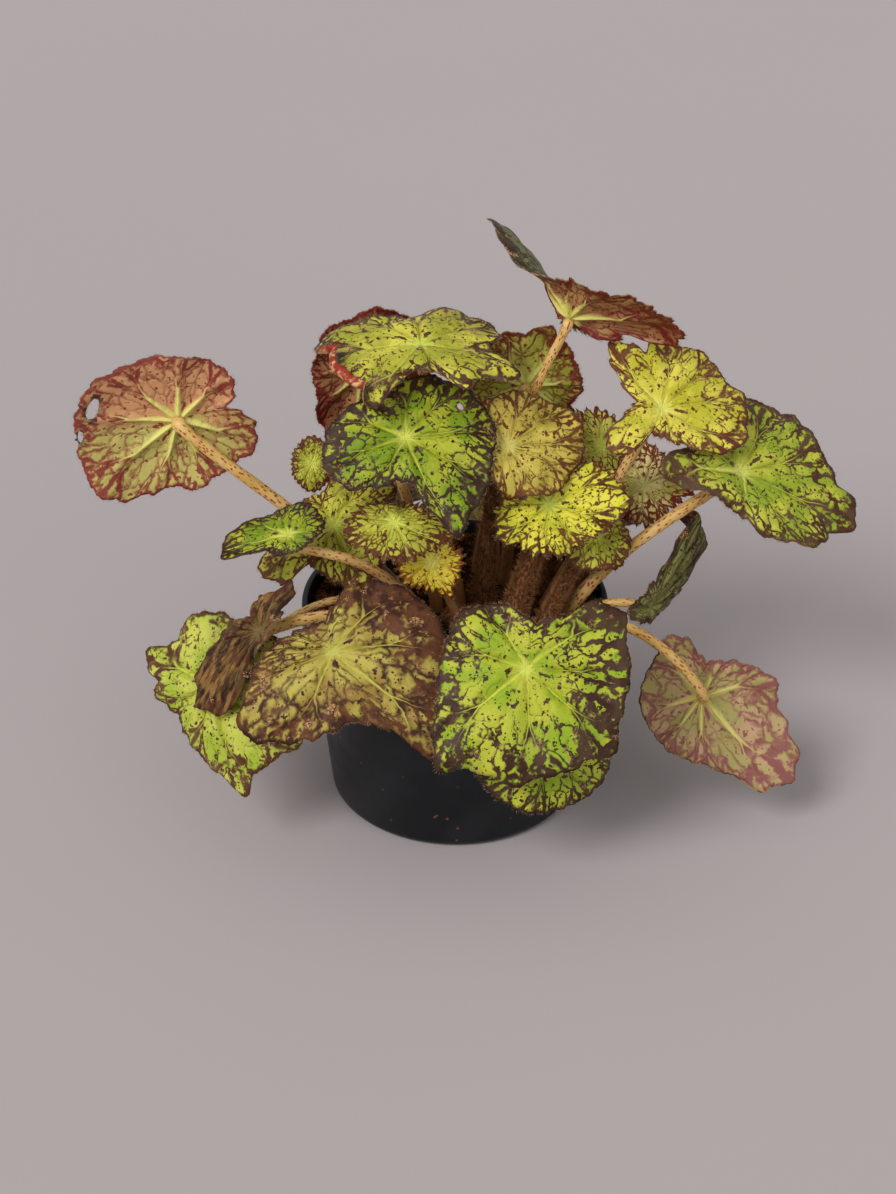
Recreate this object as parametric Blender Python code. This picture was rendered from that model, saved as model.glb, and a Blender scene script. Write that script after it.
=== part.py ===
"""A rex begonia in a nursery pot: one object for each separate piece.

Metres, +Z up. The origin is under the middle of the pot, and -Y is the front. Lengths in the
tables are millimetres and angles are degrees; MM turns them into metres where a mesh is made.
"""

import math

import bmesh
import bpy
from mathutils import Matrix, Vector, noise
from mathutils.geometry import delaunay_2d_cdt, interpolate_bezier

MM = 0.001
CLEARANCE = 0.3  # between pieces that touch on the real plant

POT_HEIGHT = 85.0
RIM_RADIUS = 60.0
RIM_BAND = 11.0
SHOULDER_RADIUS = 57.3  # the wall just under the rim band
BASE_RADIUS = 49.8
BASE_CORNER = 4.0
POT_WALL = 1.5
FOOT_GROOVE = (16.0, 40.0, 1.5)  # inner radius, outer radius, depth of the drain groove
GROOVE_SLOPE = 1.0  # width of each sloping side of the groove
FOOT_ARC = (-90, -5)  # the base's corner, from the foot to the sloping wall
LIP_WIDTH = 2.4
LIP_ROUND = 0.6
DRAIN_RING = 28.0
DRAIN_RADIUS = 4.0
DRAIN_HOLES = 8
DRAIN_SIDES = 10
DRILL_LENGTH = 20.0
ROUND_SIDES = 40

SOIL_LEVEL = 74.0
SOIL_MOUND = 4.0
SOIL_MOUND_WIDTH = 32.0
SOIL_CRUMB = 1.1  # height of the lumps in its surface
SOIL_CRUMB_SPACING = 7.0
SOIL_RINGS = (47.0, 38.0, 29.0, 20.0, 10.0)
HOLE_DEPTH = 0.6  # of a stem's hole below the stem's end
HOLE_TOP = 4.0  # how far the cut runs past the soil's surface
ROUND_TO_FLATS = 1.16  # a six-sided hole's corner radius for the radius of what stands in it

RHIZOME = ((-3, -3, 74), (0, -4, 78), (4, -5, 80), (9, -7, 80.5), (13, -11, 79), (15, -16, 74))
RHIZOME_RADIUS = 3.4
RHIZOME_KNOTS = (0.8, 1.1, 0.95, 1.15, 1.0, 0.8)  # its thicker and thinner places

BLADE_THICKNESS = 0.8
ROOT_DEPTH = 9.0
ROD_SIDES = 1  # bevel resolution: six sides
PETIOLE_STEPS = 7
PETIOLE_NECK = 1.5  # straight end under the blade
TOOTH_COUNT = 27
TOOTH_DEPTH = 0.035  # half of a tooth's height, as a share of the reach
BLADE_RINGS = ((0.3, 8), (0.58, 13), (0.82, 18))  # share of the reach, points round the ring
SAME_POINT = 1e-5


class Leaf:
    """One leaf: where its blade stands, which way it looks, its margin, and how it is bent.

    hub: the petiole's joint in the blade. faces: azimuth and elevation of the upper side, azimuth
    0 towards the front and 90 to the right. tip: turn of the leaf's tip round that direction, 0 to
    the side of growing azimuth and 90 uphill. margin: (angle from the tip, reach from the hub) of
    each lobe and notch, anticlockwise as the upper side is seen, with the sinus near 180.
    dome: rise of the margin. waves: number and height of the waves in the margin.
    folds: (direction from the tip, start, length, angle) of each bend down from a straight line.
    twists: (direction from the tip, start, length, angle) of each turn about that direction.
    root: where the petiole leaves the soil. lean: its tilt there. rise, reach: its two handles.
    """

    def __init__(self, name, hub, faces, tip, margin, dome=-0.06, waves=(5, 0.03), folds=(),
                 twists=(), root=(0, 0), lean=30, rise=40, reach=25, stem=2.2):
        self.name = name
        self.hub = Vector(hub)
        azimuth, elevation = (math.radians(a) for a in faces)
        self.up = Vector((math.sin(azimuth) * math.cos(elevation),
                          -math.cos(azimuth) * math.cos(elevation),
                          math.sin(elevation)))
        level = Vector((math.cos(azimuth), math.sin(azimuth), 0))
        uphill = self.up.cross(level)
        turn = math.radians(tip)
        self.tip = level * math.cos(turn) + uphill * math.sin(turn)
        self.left = self.up.cross(self.tip)
        self.margin = margin
        self.size = sum(reach for _, reach in margin) / len(margin)
        self.dome = dome
        self.waves = waves
        self.folds = folds
        self.twists = twists
        self.root = root
        self.lean = lean
        self.rise = rise
        self.reach = reach
        self.stem = stem


LEAVES = [
    Leaf("far_left", (-107, 24, 151), (190, 0), -15,
         ((180, 20), (170, 25), (155, 28), (120, 29), (79, 31), (61, 34), (49, 39), (34, 40),
          (22, 40), (8, 40), (-11, 41), (-20, 43), (-38, 40), (-52, 33), (-68, 28), (-86, 30),
          (-104, 27), (-122, 29), (-138, 33), (-160, 30), (-172, 25)),
         root=(-22, 18), lean=48, rise=34, reach=8, stem=2.6),
    Leaf("top_left", (-13, 18, 187), (-20, 82), 198,
         ((176, 27), (172, 31), (166, 37), (160, 40), (151, 38), (145, 30), (136, 28), (128, 30),
          (118, 19), (110, 16), (75, 15), (50, 22), (35, 29), (15, 32), (0, 38), (-20, 43),
          (-40, 31), (-60, 26), (-80, 25), (-120, 29), (-155, 32), (-163, 31), (-174, 25)),
         dome=-0.1, root=(0, 16), lean=8, rise=50, reach=25),
    Leaf("top_left_rear", (-36, 54, 156), (190, 0), -60,
         ((0, 29), (45, 20), (80, 21), (120, 26), (140, 25), (162, 31), (-170, 30), (-140, 26),
          (-100, 27), (-60, 30), (-30, 28)),
         root=(-10, 27), lean=20, rise=40, reach=12),
    Leaf("upper_middle", (-19, -5, 160), (5, 50), -57,
         ((180, 17), (165, 20), (140, 25), (115, 29), (90, 33), (65, 35), (42, 34), (20, 36),
          (4, 38), (-8, 43), (-18, 30), (-26, 18), (-46, 17), (-66, 22), (-85, 30), (-108, 32),
          (-130, 30), (-150, 26), (-170, 23)),
         root=(2, 6), lean=8, rise=40, reach=20),
    Leaf("top_rear", (28, 46, 154), (170, 0), -90,
         ((0, 28), (40, 24), (80, 25), (115, 27), (143, 24), (160, 25), (176, 24), (-162, 31),
          (-148, 27), (-120, 23), (-100, 23), (-76, 19), (-61, 22), (-40, 25)),
         root=(20, 27), lean=12, rise=40, reach=8),
    Leaf("summit", (43, 24, 195), (165, 30), 15,
         ((0, 52), (14, 34), (30, 22), (60, 20), (102, 28), (129, 38), (142, 41), (160, 44),
          (171, 43), (178, 22), (-150, 8), (-100, 5), (-60, 6), (-30, 14), (-14, 34)),
         folds=((0, -4, 10, -50),), twists=((0, 5, 20, -45),),
         root=(9, 34), lean=5, rise=50, reach=2, stem=1.9),
    Leaf("middle_rear", (20, 3, 152), (16, 50), 20,
         ((0, 31), (40, 23), (80, 20), (120, 17), (150, 14), (-160, 15), (-110, 20), (-60, 26),
          (-25, 31)),
         root=(11, 6), lean=3, rise=30, reach=22, stem=3.6),
    Leaf("middle_right", (36, -2, 129), (0, 45), -80,
         ((0, 21), (30, 20), (60, 26), (80, 31), (100, 28), (120, 25), (140, 18), (170, 17),
          (-160, 17), (-140, 18), (-100, 20), (-62, 24), (-45, 20), (-20, 21)),
         dome=0.12, waves=(7, 0.05), root=(22, -8), lean=12, rise=22, reach=12, stem=3.8),
    Leaf("under_middle_right", (54, -1, 115), (20, 40), -30,
         ((0, 15), (50, 13), (100, 15), (150, 14), (-160, 13), (-110, 15), (-60, 14), (-30, 16)),
         root=(33, -9), lean=30, rise=20, reach=8),
    Leaf("right_inner", (57, 29, 137), (10, 50), 60,
         ((0, 14), (30, 16), (70, 17), (120, 16), (160, 14), (-150, 13), (-105, 11), (-60, 10),
          (-25, 12)),
         root=(34, 20), lean=20, rise=25, reach=10),
    Leaf("right_shelf", (74, 24, 122), (20, 55), -10,
         ((0, 22), (35, 16), (80, 20), (130, 15), (180, 12), (-140, 14), (-90, 17), (-50, 14),
          (-25, 16)),
         root=(43, 12), lean=30, rise=25, reach=10),
    Leaf("upper_right", (78, 5, 167), (20, 50), 0,
         ((180, 16), (166, 12), (150, 10), (132, 18), (120, 27), (110, 33), (98, 29), (88, 24),
          (80, 30), (60, 28), (42, 31), (14, 31), (0, 36), (-14, 35), (-30, 35), (-45, 30),
          (-58, 22), (-75, 15), (-100, 11), (-128, 11), (-142, 24), (-155, 27), (-166, 24)),
         root=(36, 10), lean=25, rise=40, reach=28),
    Leaf("far_right", (109, 4, 140), (30, 50), -15,
         ((180, 32), (170, 32), (150, 23), (108, 24), (85, 32), (62, 33), (48, 35), (38, 40),
          (20, 39), (5, 40), (-6, 42), (-12, 51), (-24, 53), (-34, 44), (-46, 42), (-60, 33),
          (-72, 28), (-92, 18), (-112, 15), (-135, 15), (-155, 18), (-170, 26)),
         root=(44, 1), lean=20, rise=30, reach=11, stem=2.5),
    Leaf("edge_right", (75, -12, 89), (50, 10), 20,
         ((3, 59), (8, 54), (12, 44), (18, 30), (25, 17), (35, 10), (72, 7), (124, 9), (144, 13),
          (154, 12), (180, 8), (-134, 6), (-58, 9), (-40, 14), (-26, 21), (-15, 33), (-9, 44),
          (-3, 55)),
         dome=-0.02, folds=((0, 42, 7, 85),),
         root=(43, -8), lean=35, rise=20, reach=10, stem=1.9),
    Leaf("low_right", (97, -20, 52), (185, -30), -80,
         ((180, 14), (168, 17), (155, 25), (142, 28), (115, 26), (80, 27), (50, 26), (15, 27),
          (-8, 28), (-25, 33), (-42, 46), (-54, 48), (-65, 45), (-78, 36), (-92, 30), (-110, 30),
          (-122, 25), (-140, 20), (-160, 16)),
         root=(36, -18), lean=40, rise=45, reach=25, stem=2.1),
    Leaf("front_right", (26, -64, 96), (0, 40), -104,
         ((180, 17), (168, 21), (157, 24), (147, 38), (132, 43), (118, 39), (92, 39), (75, 40),
          (60, 46), (48, 41), (35, 42), (22, 41), (7, 45), (-15, 46), (-27, 50), (-40, 43),
          (-52, 36), (-68, 33), (-95, 31), (-115, 32), (-135, 28), (-150, 25), (-163, 20)),
         root=(12, -23), lean=40, rise=30, reach=10, stem=2.6),
    Leaf("front_right_lower", (34, -70, 65), (10, 20), -80,
         ((0, 27), (40, 27), (80, 26), (120, 22), (180, 15), (-120, 22), (-80, 28), (-40, 27)),
         root=(23, -26), lean=38, rise=50, reach=6),
    Leaf("front_left", (-46, -56, 98), (-8, 45), -70,
         ((180, 12), (165, 17), (150, 27), (135, 32), (115, 37), (88, 42), (70, 48), (54, 48),
          (42, 55), (31, 61), (22, 36), (12, 30), (0, 27), (-14, 30), (-30, 34), (-46, 39),
          (-60, 45), (-71, 45), (-78, 38), (-88, 32), (-104, 27), (-116, 22), (-130, 17),
          (-150, 13)),
         dome=-0.14, root=(-5, -21), lean=40, rise=35, reach=8, stem=2.6),
    Leaf("withered", (-74, -38, 95), (-35, 30), -106,
         ((0, 39), (5, 37), (9, 31), (14, 20), (24, 9), (50, 6), (120, 6), (165, 12), (174, 19),
          (-175, 22), (-165, 20), (-150, 18), (-133, 16), (-112, 11), (-92, 13), (-70, 17),
          (-50, 25), (-36, 32), (-26, 36), (-12, 42)),
         dome=-0.02, root=(-18, -17), lean=45, rise=40, reach=8, stem=2.6),
    Leaf("low_left", (-93, -33, 66), (-25, 35), -60,
         ((164, 29), (-172, 30), (-154, 25), (-146, 26), (-130, 34), (-120, 30), (-110, 24),
          (-100, 26), (-86, 22), (-70, 20), (-52, 22), (-30, 26), (-14, 33), (0, 44), (10, 37),
          (25, 38), (42, 42), (70, 38), (105, 32), (140, 26)),
         root=(-21, -4), lean=40, rise=55, reach=6, stem=1.6),
    Leaf("left_shelf", (-63, -25, 129), (-40, 75), 200,
         ((180, 11), (-160, 13), (-124, 16), (-86, 20), (-62, 18), (-40, 16), (-14, 21), (5, 26),
          (30, 26), (42, 16), (60, 10), (112, 9), (160, 9)),
         root=(-9, -11), lean=25, rise=50, reach=10),
    Leaf("left_large", (-47, 4, 116), (-15, 50), -80,
         ((180, 20), (170, 25), (150, 26), (128, 29), (100, 22), (72, 21), (44, 26), (22, 29),
          (5, 23), (-15, 19), (-30, 18), (-42, 31), (-62, 34), (-75, 27), (-100, 24), (-130, 17),
          (-158, 15)),
         root=(-15, 2), lean=30, rise=25, reach=10),
    Leaf("left_inner", (-23, -20, 132), (0, 60), -90,
         ((180, 10), (160, 10), (140, 11), (116, 13), (96, 18), (78, 23), (62, 20), (42, 17),
          (10, 16), (-45, 16), (-70, 19), (-90, 18), (-118, 15), (-146, 12)),
         root=(-7, 3), lean=10, rise=30, reach=14),
    Leaf("new_yellow", (-9, -20, 115), (10, 20), -90,
         ((180, 9), (158, 9), (122, 10), (94, 12), (64, 12), (45, 13), (25, 16), (5, 12),
          (-20, 11), (-50, 13), (-75, 13), (-100, 12), (-130, 10), (-160, 10)),
         root=(4, -14), lean=20, rise=15, reach=5, stem=1.8),
    Leaf("left_small", (-56, 31, 128), (0, 35), 180,
         ((0, 8), (40, 9), (90, 11), (140, 9), (180, 7), (-140, 9), (-90, 11), (-40, 9)),
         root=(-19, 30), lean=25, rise=30, reach=8, stem=1.7),
    Leaf("rear_left", (-15, 72, 98), (195, 45), -90,
         ((0, 36), (30, 28), (70, 31), (110, 27), (150, 27), (180, 18), (-150, 25), (-110, 29),
          (-70, 27), (-30, 31)),
         root=(-2, 35), lean=30, rise=30, reach=8),
    Leaf("rear_right", (50, 66, 92), (155, 45), -90,
         ((0, 34), (30, 30), (70, 27), (110, 29), (150, 25), (180, 16), (-150, 27), (-110, 25),
          (-70, 30), (-30, 28)),
         root=(35, 30), lean=30, rise=25, reach=6),
    Leaf("rear_low", (12, 92, 62), (180, 15), -80,
         ((0, 38), (30, 30), (70, 33), (110, 30), (150, 28), (180, 17), (-150, 26), (-110, 30),
          (-70, 31), (-30, 33)),
         root=(16, 37), lean=38, rise=50, reach=6),
]


def material(name, colour, roughness=0.6):
    made = bpy.data.materials.new(name)
    made.use_nodes = True
    shader = made.node_tree.nodes["Principled BSDF"]
    shader.inputs["Base Color"].default_value = (*colour, 1)
    shader.inputs["Roughness"].default_value = roughness
    return made


def add_object(name, data, finish):
    made = bpy.data.objects.new(name, data)
    if finish:
        data.materials.append(finish)
    bpy.context.scene.collection.objects.link(made)
    return made


def outline_reach(leaf, angle):
    """Reach from hub to margin, at an angle in degrees from the tip."""
    margin = sorted(leaf.margin)
    around = [(margin[-1][0] - 360, margin[-1][1])] + margin + [(margin[0][0] + 360, margin[0][1])]
    for (first, reach), (last, next_reach) in zip(around, around[1:]):
        if first <= angle <= last:
            share = (angle - first) / (last - first)
            return reach + (next_reach - reach) * (1 - math.cos(math.pi * share)) / 2
    return around[0][1]


def bent(leaf, x, y):
    """A point of the flat blade, x to the tip and y to its left, on the bent blade in the world."""
    reach = math.hypot(x, y)
    angle = math.atan2(y, x)
    share = reach / outline_reach(leaf, math.degrees(angle))
    count, height = leaf.waves
    z = leaf.dome * reach * reach / leaf.size
    z += height * leaf.size * share ** 3 * math.sin(count * angle + leaf.size)
    for direction, start, length, turn in leaf.twists:
        along = Vector((math.cos(math.radians(direction)), math.sin(math.radians(direction))))
        past = x * along.x + y * along.y - start
        aside = y * along.x - x * along.y
        turned = math.radians(turn) * min(max(past / length, 0), 1)
        x += (math.cos(turned) - 1) * aside * -along.y - z * math.sin(turned) * -along.y
        y += (math.cos(turned) - 1) * aside * along.x - z * math.sin(turned) * along.x
        z = z * math.cos(turned) + aside * math.sin(turned)
    for direction, start, length, down in leaf.folds:
        along = Vector((math.cos(math.radians(direction)), math.sin(math.radians(direction))))
        past = x * along.x + y * along.y - start
        if past <= 0:
            continue
        full = math.radians(down)
        turned = full * min(past / length, 1)
        straight = max(past - length, 0)
        radius = length / full
        forward = radius * math.sin(turned) + straight * math.cos(turned) + z * math.sin(turned)
        drop = radius * (1 - math.cos(turned)) + straight * math.sin(turned)
        x += (forward - past) * along.x
        y += (forward - past) * along.y
        z = z * math.cos(turned) - drop
    return leaf.hub + leaf.tip * x + leaf.left * y + leaf.up * z


def blade_outline(leaf):
    """The flat margin, with its teeth, as points anticlockwise from the sinus."""
    points = []
    steps = 2 * TOOTH_COUNT
    for step in range(steps):
        angle = -180 + 360 * step / steps
        tooth = TOOTH_DEPTH if step % 2 else -TOOTH_DEPTH
        reach = outline_reach(leaf, angle) * (1 + tooth)
        points.append(Vector((math.cos(math.radians(angle)), math.sin(math.radians(angle)))) * reach)
    return points


def blade_inside(leaf):
    """Points inside the flat margin, in rings that follow it, so that the blade can bend."""
    points = [Vector((0, 0))]
    for share, count in BLADE_RINGS:
        for step in range(count):
            angle = -180 + 360 * (step + 0.5) / count
            reach = outline_reach(leaf, angle) * share
            turn = math.radians(angle)
            points.append(Vector((math.cos(turn), math.sin(turn))) * reach)
    return points


def make_blade(leaf, finish):
    margin = blade_outline(leaf)
    inside = blade_inside(leaf)
    edge = [(i, (i + 1) % len(margin)) for i in range(len(margin))]
    keep_inside = 1  # only the triangles within the margin
    points, _, faces, _, _, _ = delaunay_2d_cdt(margin + inside, edge, [], keep_inside, SAME_POINT)
    mesh = bpy.data.meshes.new("blade_" + leaf.name)
    shape = bmesh.new()
    corners = [shape.verts.new(bent(leaf, p.x, p.y) * MM) for p in points]
    for face in faces:
        shape.faces.new([corners[i] for i in face])
    bmesh.ops.recalc_face_normals(shape, faces=shape.faces)
    if sum((f.normal for f in shape.faces), Vector()).dot(leaf.up) < 0:
        bmesh.ops.reverse_faces(shape, faces=shape.faces)
    shape.to_mesh(mesh)
    shape.free()
    made = add_object("blade_" + leaf.name, mesh, finish)
    wall = made.modifiers.new("Thickness", "SOLIDIFY")
    wall.thickness = BLADE_THICKNESS * MM
    wall.offset = 0
    return made


def leaving(leaf):
    """Direction in which the petiole leaves the soil."""
    outward = Vector((leaf.hub.x - leaf.root[0], leaf.hub.y - leaf.root[1], 0)).normalized()
    lean = math.radians(leaf.lean)
    return outward * math.sin(lean) + Vector((0, 0, math.cos(lean)))


def petiole_path(leaf):
    """Points from the root's end in the soil to the underside of the hub."""
    start = Vector((*leaf.root, soil_height(*leaf.root) + 1))
    leave = leaving(leaf)
    joint = leaf.hub - leaf.up * (BLADE_THICKNESS / 2 + CLEARANCE)
    neck = joint - leaf.up * PETIOLE_NECK
    bend = interpolate_bezier(start, start + leave * leaf.rise, neck - leaf.up * leaf.reach, neck,
                              PETIOLE_STEPS + 1)
    return [start - leave * ROOT_DEPTH] + bend + [joint]


def tube(name, path, radius, finish, knots=None):
    """A six-sided rod with flat ends along a path; knots scale its radius at each point."""
    curve = bpy.data.curves.new(name, "CURVE")
    curve.dimensions = "3D"
    curve.bevel_depth = radius * MM
    curve.bevel_resolution = ROD_SIDES
    curve.use_fill_caps = True
    line = curve.splines.new("POLY")
    line.points.add(len(path) - 1)
    for spot, place, share in zip(line.points, path, knots or [1] * len(path)):
        spot.co = (*(Vector(place) * MM), 1)
        spot.radius = share
    return add_object(name, curve, finish)


def add_rod(shape, path, radius):
    """Add to a bmesh a six-sided rod whose flats clear a round of the radius."""
    guide = tube("guide", path, radius * ROUND_TO_FLATS, None)
    mesh = bpy.data.meshes.new_from_object(guide)
    shape.from_mesh(mesh)
    bpy.data.objects.remove(guide)
    bpy.data.meshes.remove(mesh)


def make_petiole(leaf, finish):
    return tube("petiole_" + leaf.name, petiole_path(leaf), leaf.stem, finish)


def spun(name, profile, finish, sides=ROUND_SIDES):
    """A solid of revolution round Z from a closed (radius, height) profile in millimetres."""
    mesh = bpy.data.meshes.new(name)
    shape = bmesh.new()
    ring = [shape.verts.new((r * MM, 0, z * MM)) for r, z in profile]
    edges = [shape.edges.new(pair) for pair in zip(ring, ring[1:])]
    if profile[0][0] > 0:
        edges.append(shape.edges.new((ring[-1], ring[0])))
    bmesh.ops.spin(shape, geom=ring + edges, axis=(0, 0, 1), cent=(0, 0, 0),
                   angle=math.tau, steps=sides, use_merge=True)
    bmesh.ops.remove_doubles(shape, verts=shape.verts, dist=SAME_POINT * MM)
    bmesh.ops.recalc_face_normals(shape, faces=shape.faces)
    shape.to_mesh(mesh)
    shape.free()
    return add_object(name, mesh, finish)


def cut_with(target, name, shape):
    """Cut the closed bodies of a bmesh out of an object."""
    mesh = bpy.data.meshes.new(name)
    shape.to_mesh(mesh)
    shape.free()
    cutter = bpy.data.objects.new(name, mesh)
    bpy.context.scene.collection.objects.link(cutter)
    cutter.hide_render = True
    cutter.display_type = "WIRE"
    cut = target.modifiers.new(name, "BOOLEAN")
    cut.operation = "DIFFERENCE"
    cut.object = cutter
    cut.use_self = True


def corner_arc(centre, radius, first, last, steps=3):
    """Points of a (radius, height) arc between two angles in degrees."""
    return [(centre[0] + radius * math.cos(math.radians(first + (last - first) * i / steps)),
             centre[1] + radius * math.sin(math.radians(first + (last - first) * i / steps)))
            for i in range(steps + 1)]


def inner_radius(height):
    """Inside radius of the pot's wall at a height."""
    share = height / POT_HEIGHT
    return BASE_RADIUS + (SHOULDER_RADIUS - BASE_RADIUS) * share - POT_WALL


def make_pot(finish):
    groove_in, groove_out, groove_depth = FOOT_GROOVE
    band_foot = POT_HEIGHT - RIM_BAND
    floor = groove_depth + POT_WALL
    profile = [(0, 0), (groove_in, 0), (groove_in + GROOVE_SLOPE, groove_depth),
               (groove_out - GROOVE_SLOPE, groove_depth), (groove_out, 0)]
    profile += corner_arc((BASE_RADIUS - BASE_CORNER, BASE_CORNER), BASE_CORNER, *FOOT_ARC)
    profile += [(SHOULDER_RADIUS, band_foot), (RIM_RADIUS - LIP_ROUND, band_foot + LIP_ROUND),
                (RIM_RADIUS, POT_HEIGHT - LIP_ROUND), (RIM_RADIUS - LIP_ROUND, POT_HEIGHT),
                (RIM_RADIUS - LIP_WIDTH + LIP_ROUND, POT_HEIGHT),
                (RIM_RADIUS - LIP_WIDTH, POT_HEIGHT - LIP_ROUND),
                (inner_radius(band_foot), band_foot), (inner_radius(floor), floor), (0, floor)]
    pot = spun("pot", profile, finish)
    drill = bmesh.new()
    for hole in range(DRAIN_HOLES):
        turn = math.tau * (hole + 0.5) / DRAIN_HOLES
        place = Vector((math.cos(turn), math.sin(turn), 0)) * DRAIN_RING * MM
        bmesh.ops.create_cone(drill, cap_ends=True, segments=DRAIN_SIDES, radius1=DRAIN_RADIUS * MM,
                              radius2=DRAIN_RADIUS * MM, depth=DRILL_LENGTH * MM,
                              matrix=Matrix.Translation(place))
    cut_with(pot, "drain_cutter", drill)
    return pot


def soil_height(x, y):
    mound = SOIL_MOUND * math.exp(-(x * x + y * y) / SOIL_MOUND_WIDTH ** 2)
    return SOIL_LEVEL + mound


def make_soil(finish):
    """The soil fills the pot, with a lumpy top and a hole for each stem that stands in it."""
    floor = FOOT_GROOVE[2] + POT_WALL
    edge = inner_radius(SOIL_LEVEL) - CLEARANCE
    profile = [(0, floor + CLEARANCE), (inner_radius(floor) - CLEARANCE, floor + CLEARANCE),
               (edge, SOIL_LEVEL)]
    profile += [(ring, soil_height(ring, 0)) for ring in SOIL_RINGS]
    profile += [(0, soil_height(0, 0))]
    soil = spun("soil", profile, finish)
    for corner in soil.data.vertices:
        place = corner.co / MM
        if place.z > SOIL_LEVEL and place.xy.length < edge - 1:
            corner.co.z += SOIL_CRUMB * noise.noise(place / SOIL_CRUMB_SPACING) * MM
    holes = bmesh.new()
    for leaf in LEAVES:
        root, start = petiole_path(leaf)[:2]
        leave = leaving(leaf)
        add_rod(holes, [root - leave * HOLE_DEPTH, start + leave * HOLE_TOP], leaf.stem + CLEARANCE)
    cut_with(soil, "stem_holes", holes)
    trough = bmesh.new()
    ends = [Vector(RHIZOME[0]) - Vector(RHIZOME[1]), Vector(RHIZOME[-1]) - Vector(RHIZOME[-2])]
    path = [Vector(RHIZOME[0]) + ends[0].normalized() * HOLE_DEPTH]
    path += [Vector(place) for place in RHIZOME[1:-1]]
    path += [Vector(RHIZOME[-1]) + ends[1].normalized() * HOLE_DEPTH]
    add_rod(trough, path, RHIZOME_RADIUS * max(RHIZOME_KNOTS) + CLEARANCE)
    cut_with(soil, "rhizome_trough", trough)
    return soil


def clear_scene():
    for old in list(bpy.data.objects):
        bpy.data.objects.remove(old)


def main():
    clear_scene()
    black = material("black_plastic", (0.02, 0.02, 0.022), 0.5)
    green = material("leaf", (0.35, 0.45, 0.05), 0.5)
    tan = material("petiole", (0.55, 0.36, 0.14), 0.5)
    peat = material("peat", (0.03, 0.018, 0.01), 0.95)
    bark = material("rhizome", (0.16, 0.07, 0.03), 0.9)
    make_pot(black)
    make_soil(peat)
    tube("rhizome", RHIZOME, RHIZOME_RADIUS, bark, RHIZOME_KNOTS)
    for leaf in LEAVES:
        make_blade(leaf, green)
        make_petiole(leaf, tan)


main()
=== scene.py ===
"""Looks of a potted rex begonia: fine leaves, hairy stalks, soil and pot round its solids.

Metres, +Z up, the origin under the middle of the pot, and -Y to the front. Lengths in the
constants and tables are millimetres, apart from the stage's, and angles are degrees, as in the
part's source; MM turns millimetres into metres.
"""

import math
import random
from bisect import bisect
from dataclasses import dataclass
from typing import NamedTuple

import bmesh
import bpy
from bpy.props import FloatProperty, FloatVectorProperty, IntProperty, PointerProperty
from mathutils import Color, Matrix, Vector, noise
from mathutils.geometry import interpolate_bezier


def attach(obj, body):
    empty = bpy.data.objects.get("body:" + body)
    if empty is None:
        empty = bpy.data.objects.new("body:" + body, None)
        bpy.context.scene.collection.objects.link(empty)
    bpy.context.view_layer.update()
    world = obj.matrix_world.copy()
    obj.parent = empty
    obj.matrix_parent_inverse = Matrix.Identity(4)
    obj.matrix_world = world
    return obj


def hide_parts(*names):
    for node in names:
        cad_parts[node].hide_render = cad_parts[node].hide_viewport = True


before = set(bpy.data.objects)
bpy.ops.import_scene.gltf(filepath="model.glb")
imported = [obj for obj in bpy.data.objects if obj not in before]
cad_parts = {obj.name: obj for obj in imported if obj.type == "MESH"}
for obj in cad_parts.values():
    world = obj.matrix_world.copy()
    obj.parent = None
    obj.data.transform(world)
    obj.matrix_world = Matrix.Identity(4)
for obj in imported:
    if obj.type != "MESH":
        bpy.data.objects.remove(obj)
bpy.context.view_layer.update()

bl_info = {
    "name": "Potted rex begonia",
    "version": (1, 0, 0),
    "blender": (4, 5, 0),
    "location": "3D View > Sidebar > Begonia",
    "description": "Builds the leaves, stalks, soil, pot and stage of a potted rex begonia",
    "category": "Add Mesh",
}

MM = 0.001
UV_PER_MM = 0.01  # in the UV maps that hold lengths
SAME_POINT = 1e-6
UPWARDS = Vector((0, 0, 1))
CLEARANCE = 0.3  # between pieces that touch on the real plant

POT_HEIGHT = 85.0
RIM_RADIUS = 60.0
RIM_BAND = 11.0
SHOULDER_RADIUS = 57.3  # the wall just under the rim band
BASE_RADIUS = 49.8
BASE_CORNER = 4.0
POT_WALL = 1.5
FOOT_GROOVE = (16.0, 40.0, 1.5)  # inner radius, outer radius, depth of the drain groove
GROOVE_SLOPE = 1.0  # width of each sloping side of the groove
FOOT_ARC = (-90, -5)  # the base's corner, from the foot to the sloping wall
LIP_WIDTH = 2.4
LIP_ROUND = 0.6
WALL_LEAN = 0.27  # how far the rim's inside leans out for each millimetre up
DRAIN_RING = 28.0
DRAIN_RADIUS = 4.0
DRAIN_HOLES = 8
DRAIN_SIDES = 32
DRILL_LENGTH = 20.0
SHARP_EDGE = 40  # angle from which an edge of the pot isn't shaded smooth

SOIL_LEVEL = 74.0
SOIL_MOUND = 4.0
SOIL_MOUND_WIDTH = 32.0
SOIL_HEAP = 6.5  # rise of the loose soil against the wall
HEAP_START, HEAP_END = 40, 54  # radii between which it rises
SOIL_LUMPS = ((1.1, 7), (0.8, 2.6))  # height and spacing of the lumps in its surface
SOIL_RINGS = 36
CRUMB_MARGIN = 1.5  # between the crumbs' middles and the soil's edge
CRUMB_LIFT = 0.8  # most that a crumb lies above the soil
CRUMB_STRETCH = (0.6, 1.3)
CRUMB_RANGE = (0.2, 1)  # share of the largest size, before small ones are made commoner
CRUMB_POWER = 1.5

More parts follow.
